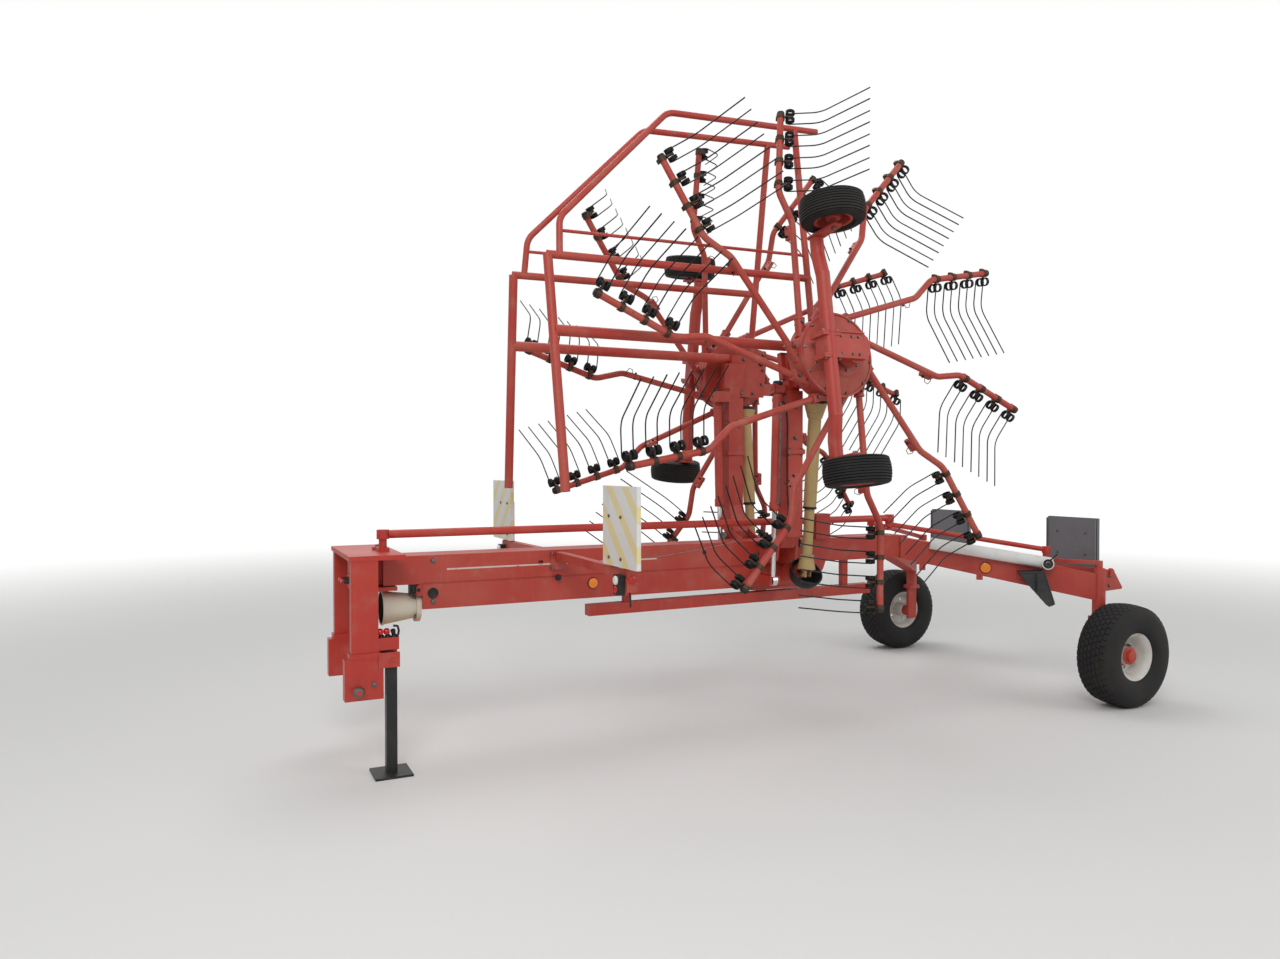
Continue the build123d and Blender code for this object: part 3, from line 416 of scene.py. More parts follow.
class Form:
    """The corners and faces of one piece, added run by run."""

    def __init__(self, skin):
        self.corners = []
        self.faces = []
        self.skins = []
        self.skin = skin

    def add_face(self, face):
        self.faces.append(face)
        self.skins.append(self.skin)

    def join(self, rings, caps=True):
        """Rings of the same count are joined by quads, and the ends are capped."""
        count = len(rings[0])
        first = len(self.corners)
        for ring in rings:
            self.corners.extend(ring)
        for step in range(len(rings) - 1):
            low, high = first + step * count, first + (step + 1) * count
            for k in range(count):
                after = (k + 1) % count
                self.add_face((low + k, low + after, high + after, high + k))
        if caps:
            self.add_face(tuple(range(first + count - 1, first - 1, -1)))
            self.add_face(tuple(range(first + (len(rings) - 1) * count, first + len(rings) * count)))

    def tube(self, path, radius, sides=10):
        """A round wire or pipe through points; its ring frame is carried along without twist."""
        path = [Vector(p) for p in path]
        runs = [(b - a).normalized() for a, b in zip(path, path[1:])]
        headings = [runs[0]] + [(a + b).normalized() for a, b in zip(runs, runs[1:])] + [runs[-1]]
        side = headings[0].orthogonal().normalized()
        rings = []
        for point, heading in zip(path, headings):
            side = (side - heading * side.dot(heading)).normalized()
            rings.append(circle(point, side, heading.cross(side), radius, sides))
        self.join(rings)

    def lathe(self, origin, axis, profile, sides=32, caps=False):
        """A profile of (radius, distance along the axis) turned about it."""
        origin, axis = Vector(origin), Vector(axis).normalized()
        side = axis.orthogonal().normalized()
        other = axis.cross(side)
        rings = [circle(origin + axis * along, side, other, radius, sides) for radius, along in profile]
        self.join(rings, caps=caps)

    def prism(self, origin, x_dir, y_dir, outline, depth):
        """A flat outline in the plane of x_dir and y_dir, pushed along their cross product."""
        origin, x_dir, y_dir = Vector(origin), Vector(x_dir).normalized(), Vector(y_dir).normalized()
        push = x_dir.cross(y_dir) * depth
        ring = [origin + x_dir * x + y_dir * y for x, y in outline]
        self.join([ring, [p + push for p in ring]])

    def bolt(self, place, axis, across=0.017, height=0.010):
        """A hexagon head on a washer."""
        washer, thick = across * 0.72, 0.003
        self.lathe(place, axis, ((washer, 0), (washer, thick), (0.001, thick)), 16)
        head = across / math.sqrt(3)
        profile = ((head, thick), (head, height - 0.001), (head - 0.0015, height))
        self.lathe(place, axis, profile, 6, caps=True)

    def copies(self, other, places):
        """Another form is added at each of the places."""
        for place in places:
            first = len(self.corners)
            self.corners.extend([place @ Vector(corner) for corner in other.corners])
            self.faces.extend([tuple(first + k for k in face) for face in other.faces])
            self.skins.extend(other.skins)

    def thing(self, name, place=None, crease=38):
        """The finished object, with outward faces, smooth with creases."""
        mesh = bpy.data.meshes.new(name)
        place = place or Matrix.Identity(4)
        mesh.from_pydata([place @ Vector(corner) for corner in self.corners], [], self.faces)
        skins = list(dict.fromkeys(self.skins))
        for skin in skins:
            mesh.materials.append(skin)
        mesh.polygons.foreach_set("material_index", [skins.index(skin) for skin in self.skins])
        work = bmesh.new()
        work.from_mesh(mesh)
        bmesh.ops.recalc_face_normals(work, faces=work.faces)
        work.to_mesh(mesh)
        work.free()
        mesh.polygons.foreach_set("use_smooth", [True] * len(mesh.polygons))
        mesh.set_sharp_from_angle(angle=math.radians(crease))
        thing = bpy.data.objects.new(name, mesh)
        bpy.context.scene.collection.objects.link(thing)
        return thing

    def piece(self, name, body, place=None, crease=38):
        """The finished object, riding on its body."""
        thing = self.thing(name, place, crease)
        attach(thing, body)
        return thing


sample = Form(dark_bolt)
sample.bolt((0, 0, 0), (0, 0, 1))
print("a bolt has", len(sample.faces), "faces")

# %% [markdown]
# Pipes, wires and straps bend softly where their path has a corner. A Bezier curve object could do that,
# but a form takes plain points, so each corner is swapped for a short run of points on a parabola that
# leaves one straight and meets the next.

# %% Soft bends
def rounded(points, radius, steps=8):
    """A path with each inner corner swapped for a bend of about the given radius."""
    points = [Vector(p) for p in points]
    path = [points[0]]
    for before, corner, after in zip(points, points[1:], points[2:]):
        back, on = (before - corner).normalized(), (after - corner).normalized()
        reach = radius / math.tan(back.angle(on) / 2)
        for step in range(steps + 1):
            t = step / steps
            start, end = corner + back * reach, corner + on * reach
            path.append(start * (1 - t) ** 2 + corner * 2 * t * (1 - t) + end * t**2)
    path.append(points[-1])
    return path


elbow = rounded([(0, 0, 0), (1, 0, 0), (1, 1, 0)], 0.1)
print("a rounded elbow has", len(elbow), "points")

# %% [markdown]
# Each rotor unit has its own frame, as in the CAD model: forward of the axle, outboard of the fold
# pivot, and height over ground in the working position. Its pieces could be placed straight at their
# folded spots, but in this frame their numbers are plain, and one matrix carries them all. The right
# unit is the left one's mirror image, and its rotor is parked seven degrees further round.

# %% The rotor unit's frame
x_axis, y_axis, z_axis = Vector((1, 0, 0)), Vector((0, 1, 0)), Vector((0, 0, 1))


def at(forward, y, z):
    """A place by its distance forward of the road axle."""
    return Vector((forward + axle_x, y, z))


def frame_matrix(origin, x_dir, y_dir, z_dir):
    rotation = Matrix((x_dir, y_dir, z_dir)).transposed().to_4x4()
    return Matrix.Translation(origin) @ rotation


fold = math.radians(98.5)
fold_pivot, pivot_height = at(0, 0.281, 1.160), 1.099
unit_out = Vector((0, math.cos(fold), math.sin(fold)))
unit_up = Vector((0, -math.sin(fold), math.cos(fold)))
unit = frame_matrix(fold_pivot - unit_up * pivot_height, x_axis, unit_out, unit_up)
mirror_y = Matrix.Diagonal((1, -1, 1, 1))

hub_x, hub_out = 2.120, 1.140
rotor_place = unit @ Vector((hub_x, hub_out, 0))
rotor_frame = frame_matrix(rotor_place, x_axis, unit_up.cross(x_axis), unit_up)
right_up = Vector((0, -unit_up.y, unit_up.z))
right_place = Vector((rotor_place.x, -rotor_place.y, rotor_place.z))
parked_turn = Matrix.Rotation(math.radians(7), 4, right_up)
right_turn = Matrix.Translation(right_place) @ parked_turn @ Matrix.Translation(-right_place)
sides = (("left", Matrix.Identity(4)), ("right", mirror_y))
rotor_sides = (("left", Matrix.Identity(4)), ("right", right_turn @ mirror_y))
print("frame of the unit", [round(v, 4) for v in unit.translation])

# %% [markdown]
# A double tine is one wire: from one tip up the long leg, over a soft bend, round a coil of a little
# over three turns, past the clamp bolt, and the same way back on the other side. A curve object with a
# Screw modifier could wind it, but here the coil's points are worked out in a loop, so that leg and
# coil are one wire with no joint between them.

# %% One double tine and its clamp
tine_bend = math.radians(48)
leg_up = Vector((0, -math.sin(tine_bend), math.cos(tine_bend)))
leg_side = leg_up.cross(x_axis)


def double_tine(wire=0.0043, winding=0.0270, turns=3.25, steps=46):
    coil_depth, coil_start, coil_end = 0.062, 0.0125, 0.038
    bend_depth, bend_radius, leg_length = 0.197, 0.17, 0.385
    form = Form(spring_steel)
    coil = leg_up * coil_depth
    for side in (-1, 1):
        path = [coil - leg_up * winding]
        for step in range(steps + 1):
            t = math.pi + 2 * math.pi * turns * step / steps
            x = side * (coil_start + (coil_end - coil_start) * step / steps)
            path.append(coil + x_axis * x + (leg_up * math.cos(t) + leg_side * math.sin(t)) * winding)
        bend = coil + x_axis * (side * coil_end) + leg_up * bend_depth
        leg = rounded([path[-1], bend, bend + z_axis * leg_length], bend_radius, 10)
        form.tube(path + leg[1:], wire, 6)
    return form


def tine_clamp(inner=0.0225, outer=0.0265):
    """The folded strap that holds a double tine under its bolt, and the saddle between the coils."""
    form = Form(rusty_steel)
    saddle = [(-0.013, -0.027), (0.013, -0.027), (0.013, 0.030), (-0.013, 0.030)]
    form.prism(leg_side * -0.013, x_axis, leg_up, saddle, 0.026)
    arc = [(math.cos(k * math.pi / 8), math.sin(k * math.pi / 8)) for k in range(17)]
    strap = [(inner * x, inner * y) for x, y in arc] + [(outer * x, outer * y) for x, y in reversed(arc)]
    form.prism(x_axis * -0.015, leg_side, leg_up * -1, strap, -0.030)
    form.bolt(leg_up * 0.030, leg_up, 0.015, 0.050)
    return form


tine, clamp = double_tine(), tine_clamp()
print("one double tine", len(tine.faces), "faces, its clamp", len(clamp.faces))

# %% [markdown]
# Forty double tines hang on the ten arms of a rotor. A cam in the drum rolls each arm about its own
# length: where the rotor rakes, the tines hang down, and where it lets the hay go, they lie back. So a
# copy's frame has its X along the arm, and its Z turned by that arm's own angle. Instances would take less
# memory, but one joined mesh a side can stand for the plain tines of the CAD model.

# %% Forty tines on ten arms
arm_height = 0.605
arm_run = (Vector((1.078, -0.305, 0)), Vector((1.625, -0.243, 0)))
arm_heading = (arm_run[1] - arm_run[0]).normalized()
arm_angles = [math.radians(19 + 36 * arm) for arm in range(10)]
arms = [Matrix.Translation((0, 0, arm_height)) @ Matrix.Rotation(angle, 4, "Z") for angle in arm_angles]
cam_roll = (18, 25, 15, 62, 74, 75, 75, 75, 50, 25)
tines_per_arm, tine_first, tine_pitch = 4, 1.132, 0.157


def tine_places():
    places = []
    for arm, roll in zip(arms, cam_roll):
        arm = rotor_frame @ arm
        along = (arm.to_3x3() @ arm_heading).normalized()
        trail = unit_up.cross(along)
        lower = trail * math.sin(math.radians(roll)) - unit_up * math.cos(math.radians(roll))
        for k in range(tines_per_arm):
            distance = tine_first + tine_pitch * k
            y = arm_run[0].y + (distance - arm_run[0].x) * arm_heading.y / arm_heading.x
            places.append(frame_matrix(arm @ Vector((distance, y, 0)), along, lower.cross(along), lower))
    return places


places = tine_places()
for side, place in rotor_sides:
    form = Form(spring_steel)
    form.copies(tine, places)
    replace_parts(form.piece(f"wound_tines_{side}", f"rotor_{side}", place), f"tines_{side}")
    form = Form(rusty_steel)
    form.copies(clamp, places)
    form.piece(f"tine_clamps_{side}", f"rotor_{side}", place)
print("double tines", len(places), "a side")

# %% [markdown]
# Every arm ends in a black cap and carries a small wire loop before its crank, and two bands and four
# bolts hold its socket. The drum's lower rim has a ring of bolts, and so has its face. A ring of bolts
# could be one bolt with an Array modifier, but the arms are all alike, so one set is made along an
# arm's own X and copied to the ten arms, as the tines were.

# %% Arm ends, brackets and drum bolts
def arm_fittings(socket_y=-0.215):
    form = Form(black_plastic)
    cap = ((0.001, 0.009), (0.016, 0.009), (0.0235, 0.004), (0.0235, -0.024), (0.0212, -0.024))
    form.lathe(arm_run[1], arm_heading, cap, 20)
    form.skin = rusty_steel
    loop = [
        (0.835, -0.215, 0.060), (0.835, -0.200, 0.066), (0.842, -0.178, 0.070), (0.868, -0.172, 0.066),
        (0.880, -0.196, 0.058), (0.868, -0.215, 0.046), (0.852, -0.235, 0.046),
    ]
    form.tube(loop, 0.0028, 6)
    form.lathe((0.800, -0.240, 0.046), y_axis, ((0.008, 0), (0.008, 0.052), (0.001, 0.053)), 10)
    form.skin = dark_bolt
    for x in (0.148, 0.212):
        for up in (1, -1):
            form.bolt((x, socket_y, up * 0.0305), (0, 0, up), 0.018, 0.016)
    form.skin = rotor_red
    band = ((0.0215, 0), (0.0345, 0), (0.0355, 0.003), (0.0355, 0.009), (0.0345, 0.012), (0.0215, 0.012))
    for x in (0.118, 0.232):
        form.lathe((x, socket_y, 0), x_axis, band, 24)
    return form


def drum_fittings(rim_slope=math.radians(30.7)):
    """The drum's bolted rim and the neck under it, about the rotor's own axis."""
    form = Form(rotor_red)
    rim = ((0.262, 0.522), (0.2755, 0.524), (0.2765, 0.530), (0.2755, 0.536), (0.264, 0.538))
    form.lathe((0, 0, 0), z_axis, rim, 72)
    neck = ((0.149, 0.466), (0.158, 0.455), (0.150, 0.448), (0.066, 0.448), (0.0605, 0.451))
    form.lathe((0, 0, 0), z_axis, neck, 56)
    form.skin = dark_bolt
    outward = Vector((math.sin(rim_slope), 0, -math.cos(rim_slope)))
    for t in round_steps(10, math.radians(9)):
        turn = Matrix.Rotation(t, 4, "Z")
        form.bolt(turn @ Vector((0.252, 0, 0.5205)), turn.to_3x3() @ outward, 0.016, 0.010)
    for spot in circle(z_axis * 0.448, x_axis, y_axis, 0.120, 8):
        form.bolt(spot, (0, 0, -1), 0.015, 0.009)
    return form


fittings, drum = arm_fittings(), drum_fittings()
for side, place in rotor_sides:
    form = Form(black_plastic)
    form.copies(fittings, arms)
    form.piece(f"arm_fittings_{side}", f"rotor_{side}", place @ rotor_frame)
    drum.piece(f"drum_bolts_{side}", f"rotor_{side}", place @ rotor_frame)
print("fittings on", len(arms), "arms a side")

# %% [markdown]
# The undercarriage is a round tube. It crosses the hub under the flanged saddle, a little lower than
# its ends, and each end holds a gauge wheel on a fork plate. The CAD model has a plain box there, and
# its edges could be bevelled round, but not bent. So a tube with soft bends replaces it on the same
# body, and it folds and slides with the unit.

# %% The wheel beam
beam_x, beam_low, beam_high = 2.320, 0.345, 0.375
gauge_axle, gauge_half = 0.200, 0.0825
gauge_outs = {"inner": 0.343, "outer": 1.937}


def on_beam(out, height):
    return Vector((beam_x, out, height))


def wheel_beam(flange=0.0137, plate=0.014, gap=0.012):
    near_flange, far_flange = 1.0560, 1.2103
    form = Form(old_red)
    bend = [on_beam(0.455, beam_high), on_beam(0.560, beam_high), on_beam(0.720, beam_low)]
    form.tube(rounded(bend, 0.16), 0.043, 24)
    form.tube([on_beam(0.700, beam_low), on_beam(1.600, beam_low)], 0.0432, 24)
    bend = [on_beam(1.580, beam_low), on_beam(1.720, beam_high), on_beam(1.826, beam_high)]
    form.tube(rounded(bend, 0.16), 0.043, 24)
    square = [(-0.069, -0.066), (-0.069, 0.066), (0.069, 0.066), (0.069, -0.066)]
    for out in (near_flange, far_flange):
        form.prism(on_beam(out, beam_high), z_axis, x_axis, square, flange)
    half_fork = [(0.160, -0.026), (0.172, -0.038), (0.330, -0.046), (0.405, -0.046), (0.420, -0.030)]
    fork = half_fork + [(height, -x) for height, x in reversed(half_fork)]
    for out, direction in ((gauge_outs["inner"], 1), (gauge_outs["outer"], -1)):
        near = out + direction * (gauge_half + gap)
        form.prism(on_beam(min(near, near + direction * plate), 0), z_axis, x_axis, fork, plate)
        form.tube([on_beam(near, gauge_axle), on_beam(out - direction * 0.040, gauge_axle)], 0.0149, 20)
        form.skin = dark_bolt
        form.bolt(on_beam(near + direction * plate, gauge_axle), (0, direction, 0), 0.024, 0.014)
        form.skin = old_red
    form.skin = dark_bolt
    for out, direction in ((near_flange, -1), (far_flange + flange, 1)):
        for x in (-0.052, 0.052):
            for height in (-0.053, 0.053):
                form.bolt((beam_x + x, out, beam_high + height), (0, direction, 0), 0.017, 0.011)
    return form


beam_form = wheel_beam()
print("wheel beam", len(beam_form.faces), "faces")

# %% [markdown]
# The gauge wheels are small tyres with grooves round them on dished red rims. A bump texture could hint
# at the grooves, but the wheels stand high in the folded machine, where the edge of the tread shows
# against the sky, so each groove is turned into the profile.

# %% Gauge wheels
def gauge_wheel(out, ribs=8, rib_pitch=0.0163, groove=0.007, crown=0.1995):
    form = Form(tyre_rubber)
    centre = on_beam(out, gauge_axle)
    shoulder = [
        (0.116, -0.070), (0.136, -gauge_half), (0.158, -0.0815), (0.178, -0.0775), (0.190, -0.070),
    ]
    profile = list(shoulder)
    for rib in range(ribs):
        left = -0.064 + rib_pitch * rib
        top = crown - 2.2 * (left + 0.007) ** 2
        profile += [(top - groove, left), (top, left + 0.0012)]
        profile += [(top, left + 0.0120), (top - groove, left + 0.0132)]
    profile += [(radius, -y) for radius, y in reversed(shoulder)]
    form.lathe(centre, y_axis, profile, 72)
    form.skin = old_red
    rim = ((0.0155, 0.055), (0.044, 0.055), (0.045, 0.012), (0.088, 0.010), (0.100, 0.066), (0.117, 0.070))
    for face in (-1, 1):
        form.lathe(centre, y_axis, [(radius, face * y) for radius, y in rim], 48)
    form.skin = dark_bolt
    for face in (1, -1):
        for spot in circle(centre + y_axis * face * 0.012, x_axis, z_axis, 0.064, 5):
            form.bolt(spot, (0, face, 0), 0.015, 0.010)
    return form


gauge_forms = {name: gauge_wheel(out) for name, out in gauge_outs.items()}
print("gauge wheel", len(gauge_forms["inner"].faces), "faces")

# %% [markdown]
# A box bracket saddles the wheel beam on the hub, and on top of the rotor's gearbox there is a ring of
# bolts and a breather plug. On the lift arm, bolts hold the collar that the inner arm slides in. These
# forms could be modelled again with their plates, but the CAD bodies already have them, so only thin
# plates and fasteners are added, each riding on the body that it is screwed to.

# %% Hub saddle and arm collar
def hub_saddle():
    form = Form(old_red)
    box = [(-0.076, -0.235), (0.076, -0.235), (0.076, 0.0), (-0.076, 0.0)]
    form.prism((2.325, hub_out, 0.3115), y_axis, x_axis, box, -0.020)
    cheek = [(-0.262, 0), (0, 0), (0, 0.032), (-0.262, 0.032)]
    for out in (-0.084, 0.076):
        form.prism((2.338, hub_out + out, 0.301), x_axis, z_axis, cheek, -0.008)
    form.skin = dark_bolt
    for x in (2.118, 2.170, 2.250):
        for out in (-0.055, 0.055):
            form.bolt((x, hub_out + out, 0.3115), (0, 0, -1), 0.014, 0.009)
    gearbox_top = Vector((hub_x, hub_out, 0.850))
    for spot in circle(gearbox_top, x_axis, y_axis, 0.134, 8, math.pi / 8):
        form.bolt(spot, z_axis, 0.018, 0.012)
    form.skin = black_plastic
    plug = ((0.017, 0), (0.017, 0.010), (0.011, 0.014), (0.011, 0.024), (0.001, 0.026))
    form.lathe(gearbox_top + Vector((-0.100, 0.100, 0)), z_axis, plug, 16)
    return form


def arm_collar(outside=0.4140):
    """Bolts through the lift arm's collar, the two wear screws above it, and a welded pad."""
    form = Form(dark_bolt)
    for x in (2.200, 2.302):
        form.bolt(at(x, 0.4195, 1.775), z_axis, 0.015, 0.010)
        form.bolt(at(x, 0.4195, 1.745), (0, 0, -1), 0.015, 0.010)
    for height in (1.850, 2.050):
        form.bolt(at(2.251, outside, height), y_axis, 0.019, 0.016)
    form.skin = old_red
    pad = [(-0.056, -0.030), (0.056, -0.030), (0.050, 0.030), (-0.050, 0.030)]
    form.prism(at(2.251, outside, 2.110), x_axis, z_axis, pad, -0.005)
    return form


saddle, collar = hub_saddle(), arm_collar()
for side, place in sides:
    saddle.piece(f"hub_saddle_{side}", f"carriage_{side}", place @ unit)
    collar.piece(f"arm_collar_{side}", f"lift_{side}", place)
    tube = beam_form.piece(f"wheel_beam_{side}", f"carriage_{side}", place @ unit)
    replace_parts(tube, f"undercarriage_{side}")
    for name, form in gauge_forms.items():
        wheel = form.piece(f"ribbed_{name}_wheel_{side}", f"gauge_{name}_{side}", place @ unit, 30)
        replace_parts(wheel, f"gauge_wheel_{name}_{side}")
print("undercarriages set, with", len(gauge_forms), "gauge wheels a side")

# %% [markdown]
# The road tyres are wide turf tyres: rows of small blocks between smooth walls. Blocks could be
# arrayed along a curve, but then the carcass under them needs its own mesh. Here the tread is one fine
# grid of corners, and a corner's radius drops wherever a groove runs.

# %% Road tyres
road_hub = at(0, 1.140, 0.355)
lane_pitch, lane_gap = 0.030, 0.16
blocks_round, block_gap, block_slant = 48, 0.20, 5.0
groove_depth = 0.007


def tread_depth(across, turn):
    """How far a groove cuts in at a place on the tread: grooves along it and slanted ones across."""
    lane = across / lane_pitch
    shift = 0.5 if math.floor(lane) % 2 else 0.0
    slant = (turn * blocks_round / (2 * math.pi) + shift + block_slant * across) % 1.0
    return groove_depth if lane % 1.0 < lane_gap or slant < block_gap else 0.0


def road_tyre(rows=60, around=288, half=0.102, crown=0.3548, lane_start=-0.2):
    form = Form(tyre_rubber)
    wall = [
        (0.158, -0.091), (0.172, -0.109), (0.195, -0.124), (0.225, -0.1318), (0.258, -0.1319),
        (0.288, -0.1295), (0.308, -0.122), (0.324, -0.113), (0.3365, -0.1045),
    ]
    profile = [(radius, y, False) for radius, y in wall]
    for row in range(rows + 1):
        y = -half + 2 * half * row / rows
        profile.append((crown - 0.62 * abs(y) ** 1.75, y, True))
    profile += [(radius, -y, False) for radius, y in reversed(wall)]
    rings = []
    for radius, y, treaded in profile:
        ring = []
        for turn in round_steps(around):
            r = radius - (tread_depth(y - lane_start, turn) if treaded else 0.0)
            ring.append(road_hub + Vector((r * math.cos(turn), y, r * math.sin(turn))))
        rings.append(ring)
    form.join(rings, caps=False)
    form.lathe(road_hub, y_axis, [(0.158, -0.091), (0.1405, -0.060), (0.1405, 0.060), (0.158, 0.091)], 96)
    return form


tyre = road_tyre()
print("road tyre", len(tyre.faces), "faces")

# %% [markdown]
# The rim's section is turned in one go, with its deep dish, its two bead seats and the disc. Round
# holes can't be turned, so they are cut afterwards by a Boolean with five short bars, and the result
# goes back into a form, so that no modifier and no spare object is left in the file.

# %% Drilled rims
rim_section = [
    (0.0254, -0.118), (0.0254, 0.046), (0.058, 0.046), (0.062, 0.040), (0.062, -0.020), (0.100, -0.016),
    (0.116, -0.006), (0.124, 0.020), (0.130, 0.056), (0.134, 0.070), (0.150, 0.088), (0.166, 0.100),
    (0.172, 0.104), (0.173, 0.099), (0.157, 0.089), (0.140, 0.060), (0.140, -0.060), (0.157, -0.089),
    (0.173, -0.099), (0.172, -0.104), (0.166, -0.100), (0.148, -0.086), (0.133, -0.070), (0.124, -0.036),
    (0.112, -0.028), (0.062, -0.030), (0.062, -0.112), (0.058, -0.118),
]


def solid_of(thing):
    """An object's mesh after its modifiers."""
    return bpy.data.meshes.new_from_object(thing.evaluated_get(bpy.context.evaluated_depsgraph_get()))


def road_rim(holes_round=5, hole_ring=0.093, hole_radius=0.0145):
    turned = Form(rim_white)
    turned.lathe(road_hub, y_axis, rim_section + rim_section[:1], 96)
    rim = turned.thing("turned_rim")
    cutter = Form(rim_white)
    inside = road_hub - y_axis * 0.045
    for spot in circle(inside, x_axis, z_axis, hole_ring, holes_round, math.pi / holes_round):
        cutter.lathe(spot, y_axis, ((hole_radius, 0), (hole_radius, 0.06)), 24, caps=True)
    bars = cutter.thing("rim_holes")
    cut = rim.modifiers.new("holes", "BOOLEAN")
    cut.operation = "DIFFERENCE"
    cut.solver = "EXACT"
    cut.object = bars
    drilled = solid_of(rim)
    form = Form(rim_white)
    form.corners = [v.co.copy() for v in drilled.vertices]
    for face in drilled.polygons:
        form.add_face(tuple(face.vertices))
    for thing in (rim, bars):
        bpy.data.objects.remove(thing)
    return form


rim = road_rim()
print("drilled rim", len(rim.faces), "faces")

# %% [markdown]
# The red hub stands in the middle of the dish with five nuts round it. It could be part of the axle,
# which ends inside it, but then the nuts would stand still, so it rides on the wheel's body.

# %% Hubs, and the wheels set in place
def hub_and_nuts():
    form = Form(bright_red)
    cap = ((0.0622, 0.041), (0.0622, 0.047), (0.044, 0.049), (0.040, 0.070), (0.020, 0.076), (0.001, 0.077))
    form.lathe(road_hub, y_axis, cap, 32)
    collar = ((0.0625, -0.019), (0.0765, -0.018), (0.0775, -0.010), (0.0625, -0.008))
    form.lathe(road_hub, y_axis, collar, 40)
    form.skin = dark_bolt
    for spot in circle(road_hub - y_axis * 0.0175, x_axis, z_axis, 0.088, 5):
        form.bolt(spot, y_axis, 0.019, 0.020)
    return form


hub = hub_and_nuts()
for side, place in sides:
    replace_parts(tyre.piece(f"block_tyre_{side}", f"road_wheel_{side}", place, 30), f"road_tyre_{side}")
    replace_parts(rim.piece(f"drilled_rim_{side}", f"road_wheel_{side}", place, 32), f"road_rim_{side}")
    hub.piece(f"hub_cap_{side}", f"road_wheel_{side}", place)
print("road wheels set", len(sides))

# %% [markdown]
# The drive shafts run up from the central gearbox inside pale guards. A black bowl covers each lower
# joint, a ribbed boot the upper one, and rings mark the ends of the sliding sleeves. Each is a profile
# turned about the shaft's own line, so all of them share the same two end points. The boot and the
# sleeve ring ride on the two halves of the shaft, which slide in each other as the unit folds.

# %% Shaft guards
shaft_low = at(hub_x - 0.020, 0.330, 0.950)
shaft_high = unit @ Vector((hub_x - 0.020, 0.945, 0.800))
shaft_axis, shaft_length = (shaft_high - shaft_low).normalized(), (shaft_high - shaft_low).length


def joint_bowl():
    """A thin shell with an open rim, and the bead round the rim."""
    form = Form(black_plastic)
    opening = Vector((0, 1, 1)).normalized()
    angles = [math.radians(85 + 5 * k) for k in range(19)]

    def arc(radius, some):
        return [(max(0.001, radius * math.sin(a)), radius * math.cos(a)) for a in some]

    shell = arc(0.107, angles[:1]) + arc(0.112, angles) + arc(0.107, angles[:0:-1])
    form.lathe(shaft_low, opening, shell, 48)
    bead = ((0.1065, 0.004), (0.115, 0.004), (0.1155, 0.009), (0.115, 0.014), (0.1065, 0.014))
    form.lathe(shaft_low, opening, bead, 48)
    return form


def shaft_boot(ribs=7, rib_pitch=0.0145):
    """Ribs round the upper cone, and the clamp ring over its wide end."""
    form = Form(guard_tan)
    profile = []
    for rib in range(ribs):
        spot = shaft_length - 0.158 + rib_pitch * rib
        base = 0.0462 + 0.30 * rib_pitch * rib
        profile += [(base + 0.0005, spot), (base + 0.0045, spot + 0.005), (base + 0.0045, spot + 0.009)]
    profile.append((0.0755, shaft_length - 0.0575))
    form.lathe(shaft_low, shaft_axis, profile, 40)
    form.skin = black_plastic
    ring = ((0.070, -0.058), (0.081, -0.058), (0.081, -0.040), (0.070, -0.036))
    form.lathe(shaft_low, shaft_axis, [(radius, shaft_length + end) for radius, end in ring], 40)
    return form


def shaft_sleeve():
    form = Form(guard_tan)
    ring = ((0.0402, 0.119), (0.0465, 0.117), (0.048, 0.108), (0.0465, 0.099), (0.046, 0.097))
    form.lathe(shaft_low, shaft_axis, ring, 36)
    form.skin = black_plastic
    form.lathe(shaft_low, shaft_axis, ((0.034, 0.430), (0.046, 0.432), (0.046, 0.446), (0.0432, 0.448)), 36)
    return form


bowl, boot, sleeve = joint_bowl(), shaft_boot(), shaft_sleeve()
print("shaft line", round(shaft_length, 3), "m")

# %% [markdown]
# Each lift cylinder has a black cap over its eye, a gland nut where the chromed rod comes out, a band,
# and a steel pipe beside the barrel that feeds its lower port. The pipe is a tube through four points
# with small bends, which is quicker to set than a curve object and gives the same round section.

# %% Cylinder fittings
ram_eye, ram_pin = at(2.367, 0.381, 2.170), at(2.367, 0.331, 0.910)


def ram_fittings(top_port=0.10, low_port=0.75):
    form = Form(black_plastic)
    axis = (ram_pin - ram_eye).normalized()
    cap = (
        (0.001, -0.052), (0.022, -0.052), (0.030, -0.047), (0.032, -0.036), (0.032, -0.024),
        (0.026, -0.022),
    )
    form.lathe(ram_eye, axis, cap, 28)
    form.skin = old_red
    gland = (
        (0.0325, 0.742), (0.036, 0.744), (0.0365, 0.770), (0.0365, 0.796), (0.034, 0.801), (0.0182, 0.801),
    )
    form.lathe(ram_eye, axis, gland, 36)
    form.lathe(ram_eye, axis, ((0.0322, 0.060), (0.0355, 0.062), (0.0355, 0.086), (0.0322, 0.088)), 36)
    form.skin = dark_bolt
    bends = ((top_port, 0.0328), (top_port, 0.046), (low_port, 0.046), (low_port, 0.0328))
    pipe = [ram_eye + axis * along + y_axis * out for along, out in bends]
    form.tube(rounded(pipe, 0.004, 4), 0.0055, 10)
    union = ((0.0105, 0), (0.0105, 0.013), (0.007, 0.016))
    for along in (top_port, low_port):
        form.lathe(ram_eye + axis * along + y_axis * 0.0312, y_axis, union, 6)
    return form


ram = ram_fittings()
for side, place in sides:
    bowl.piece(f"joint_bowl_{side}", "chassis", place)
    boot.piece(f"shaft_boot_{side}", f"shaft_high_{side}", place)
    sleeve.piece(f"shaft_sleeve_{side}", f"shaft_low_{side}", place)
    ram.piece(f"ram_fittings_{side}", f"barrel_{side}", place)
print("cylinder and shaft fittings set a side", len(sides))
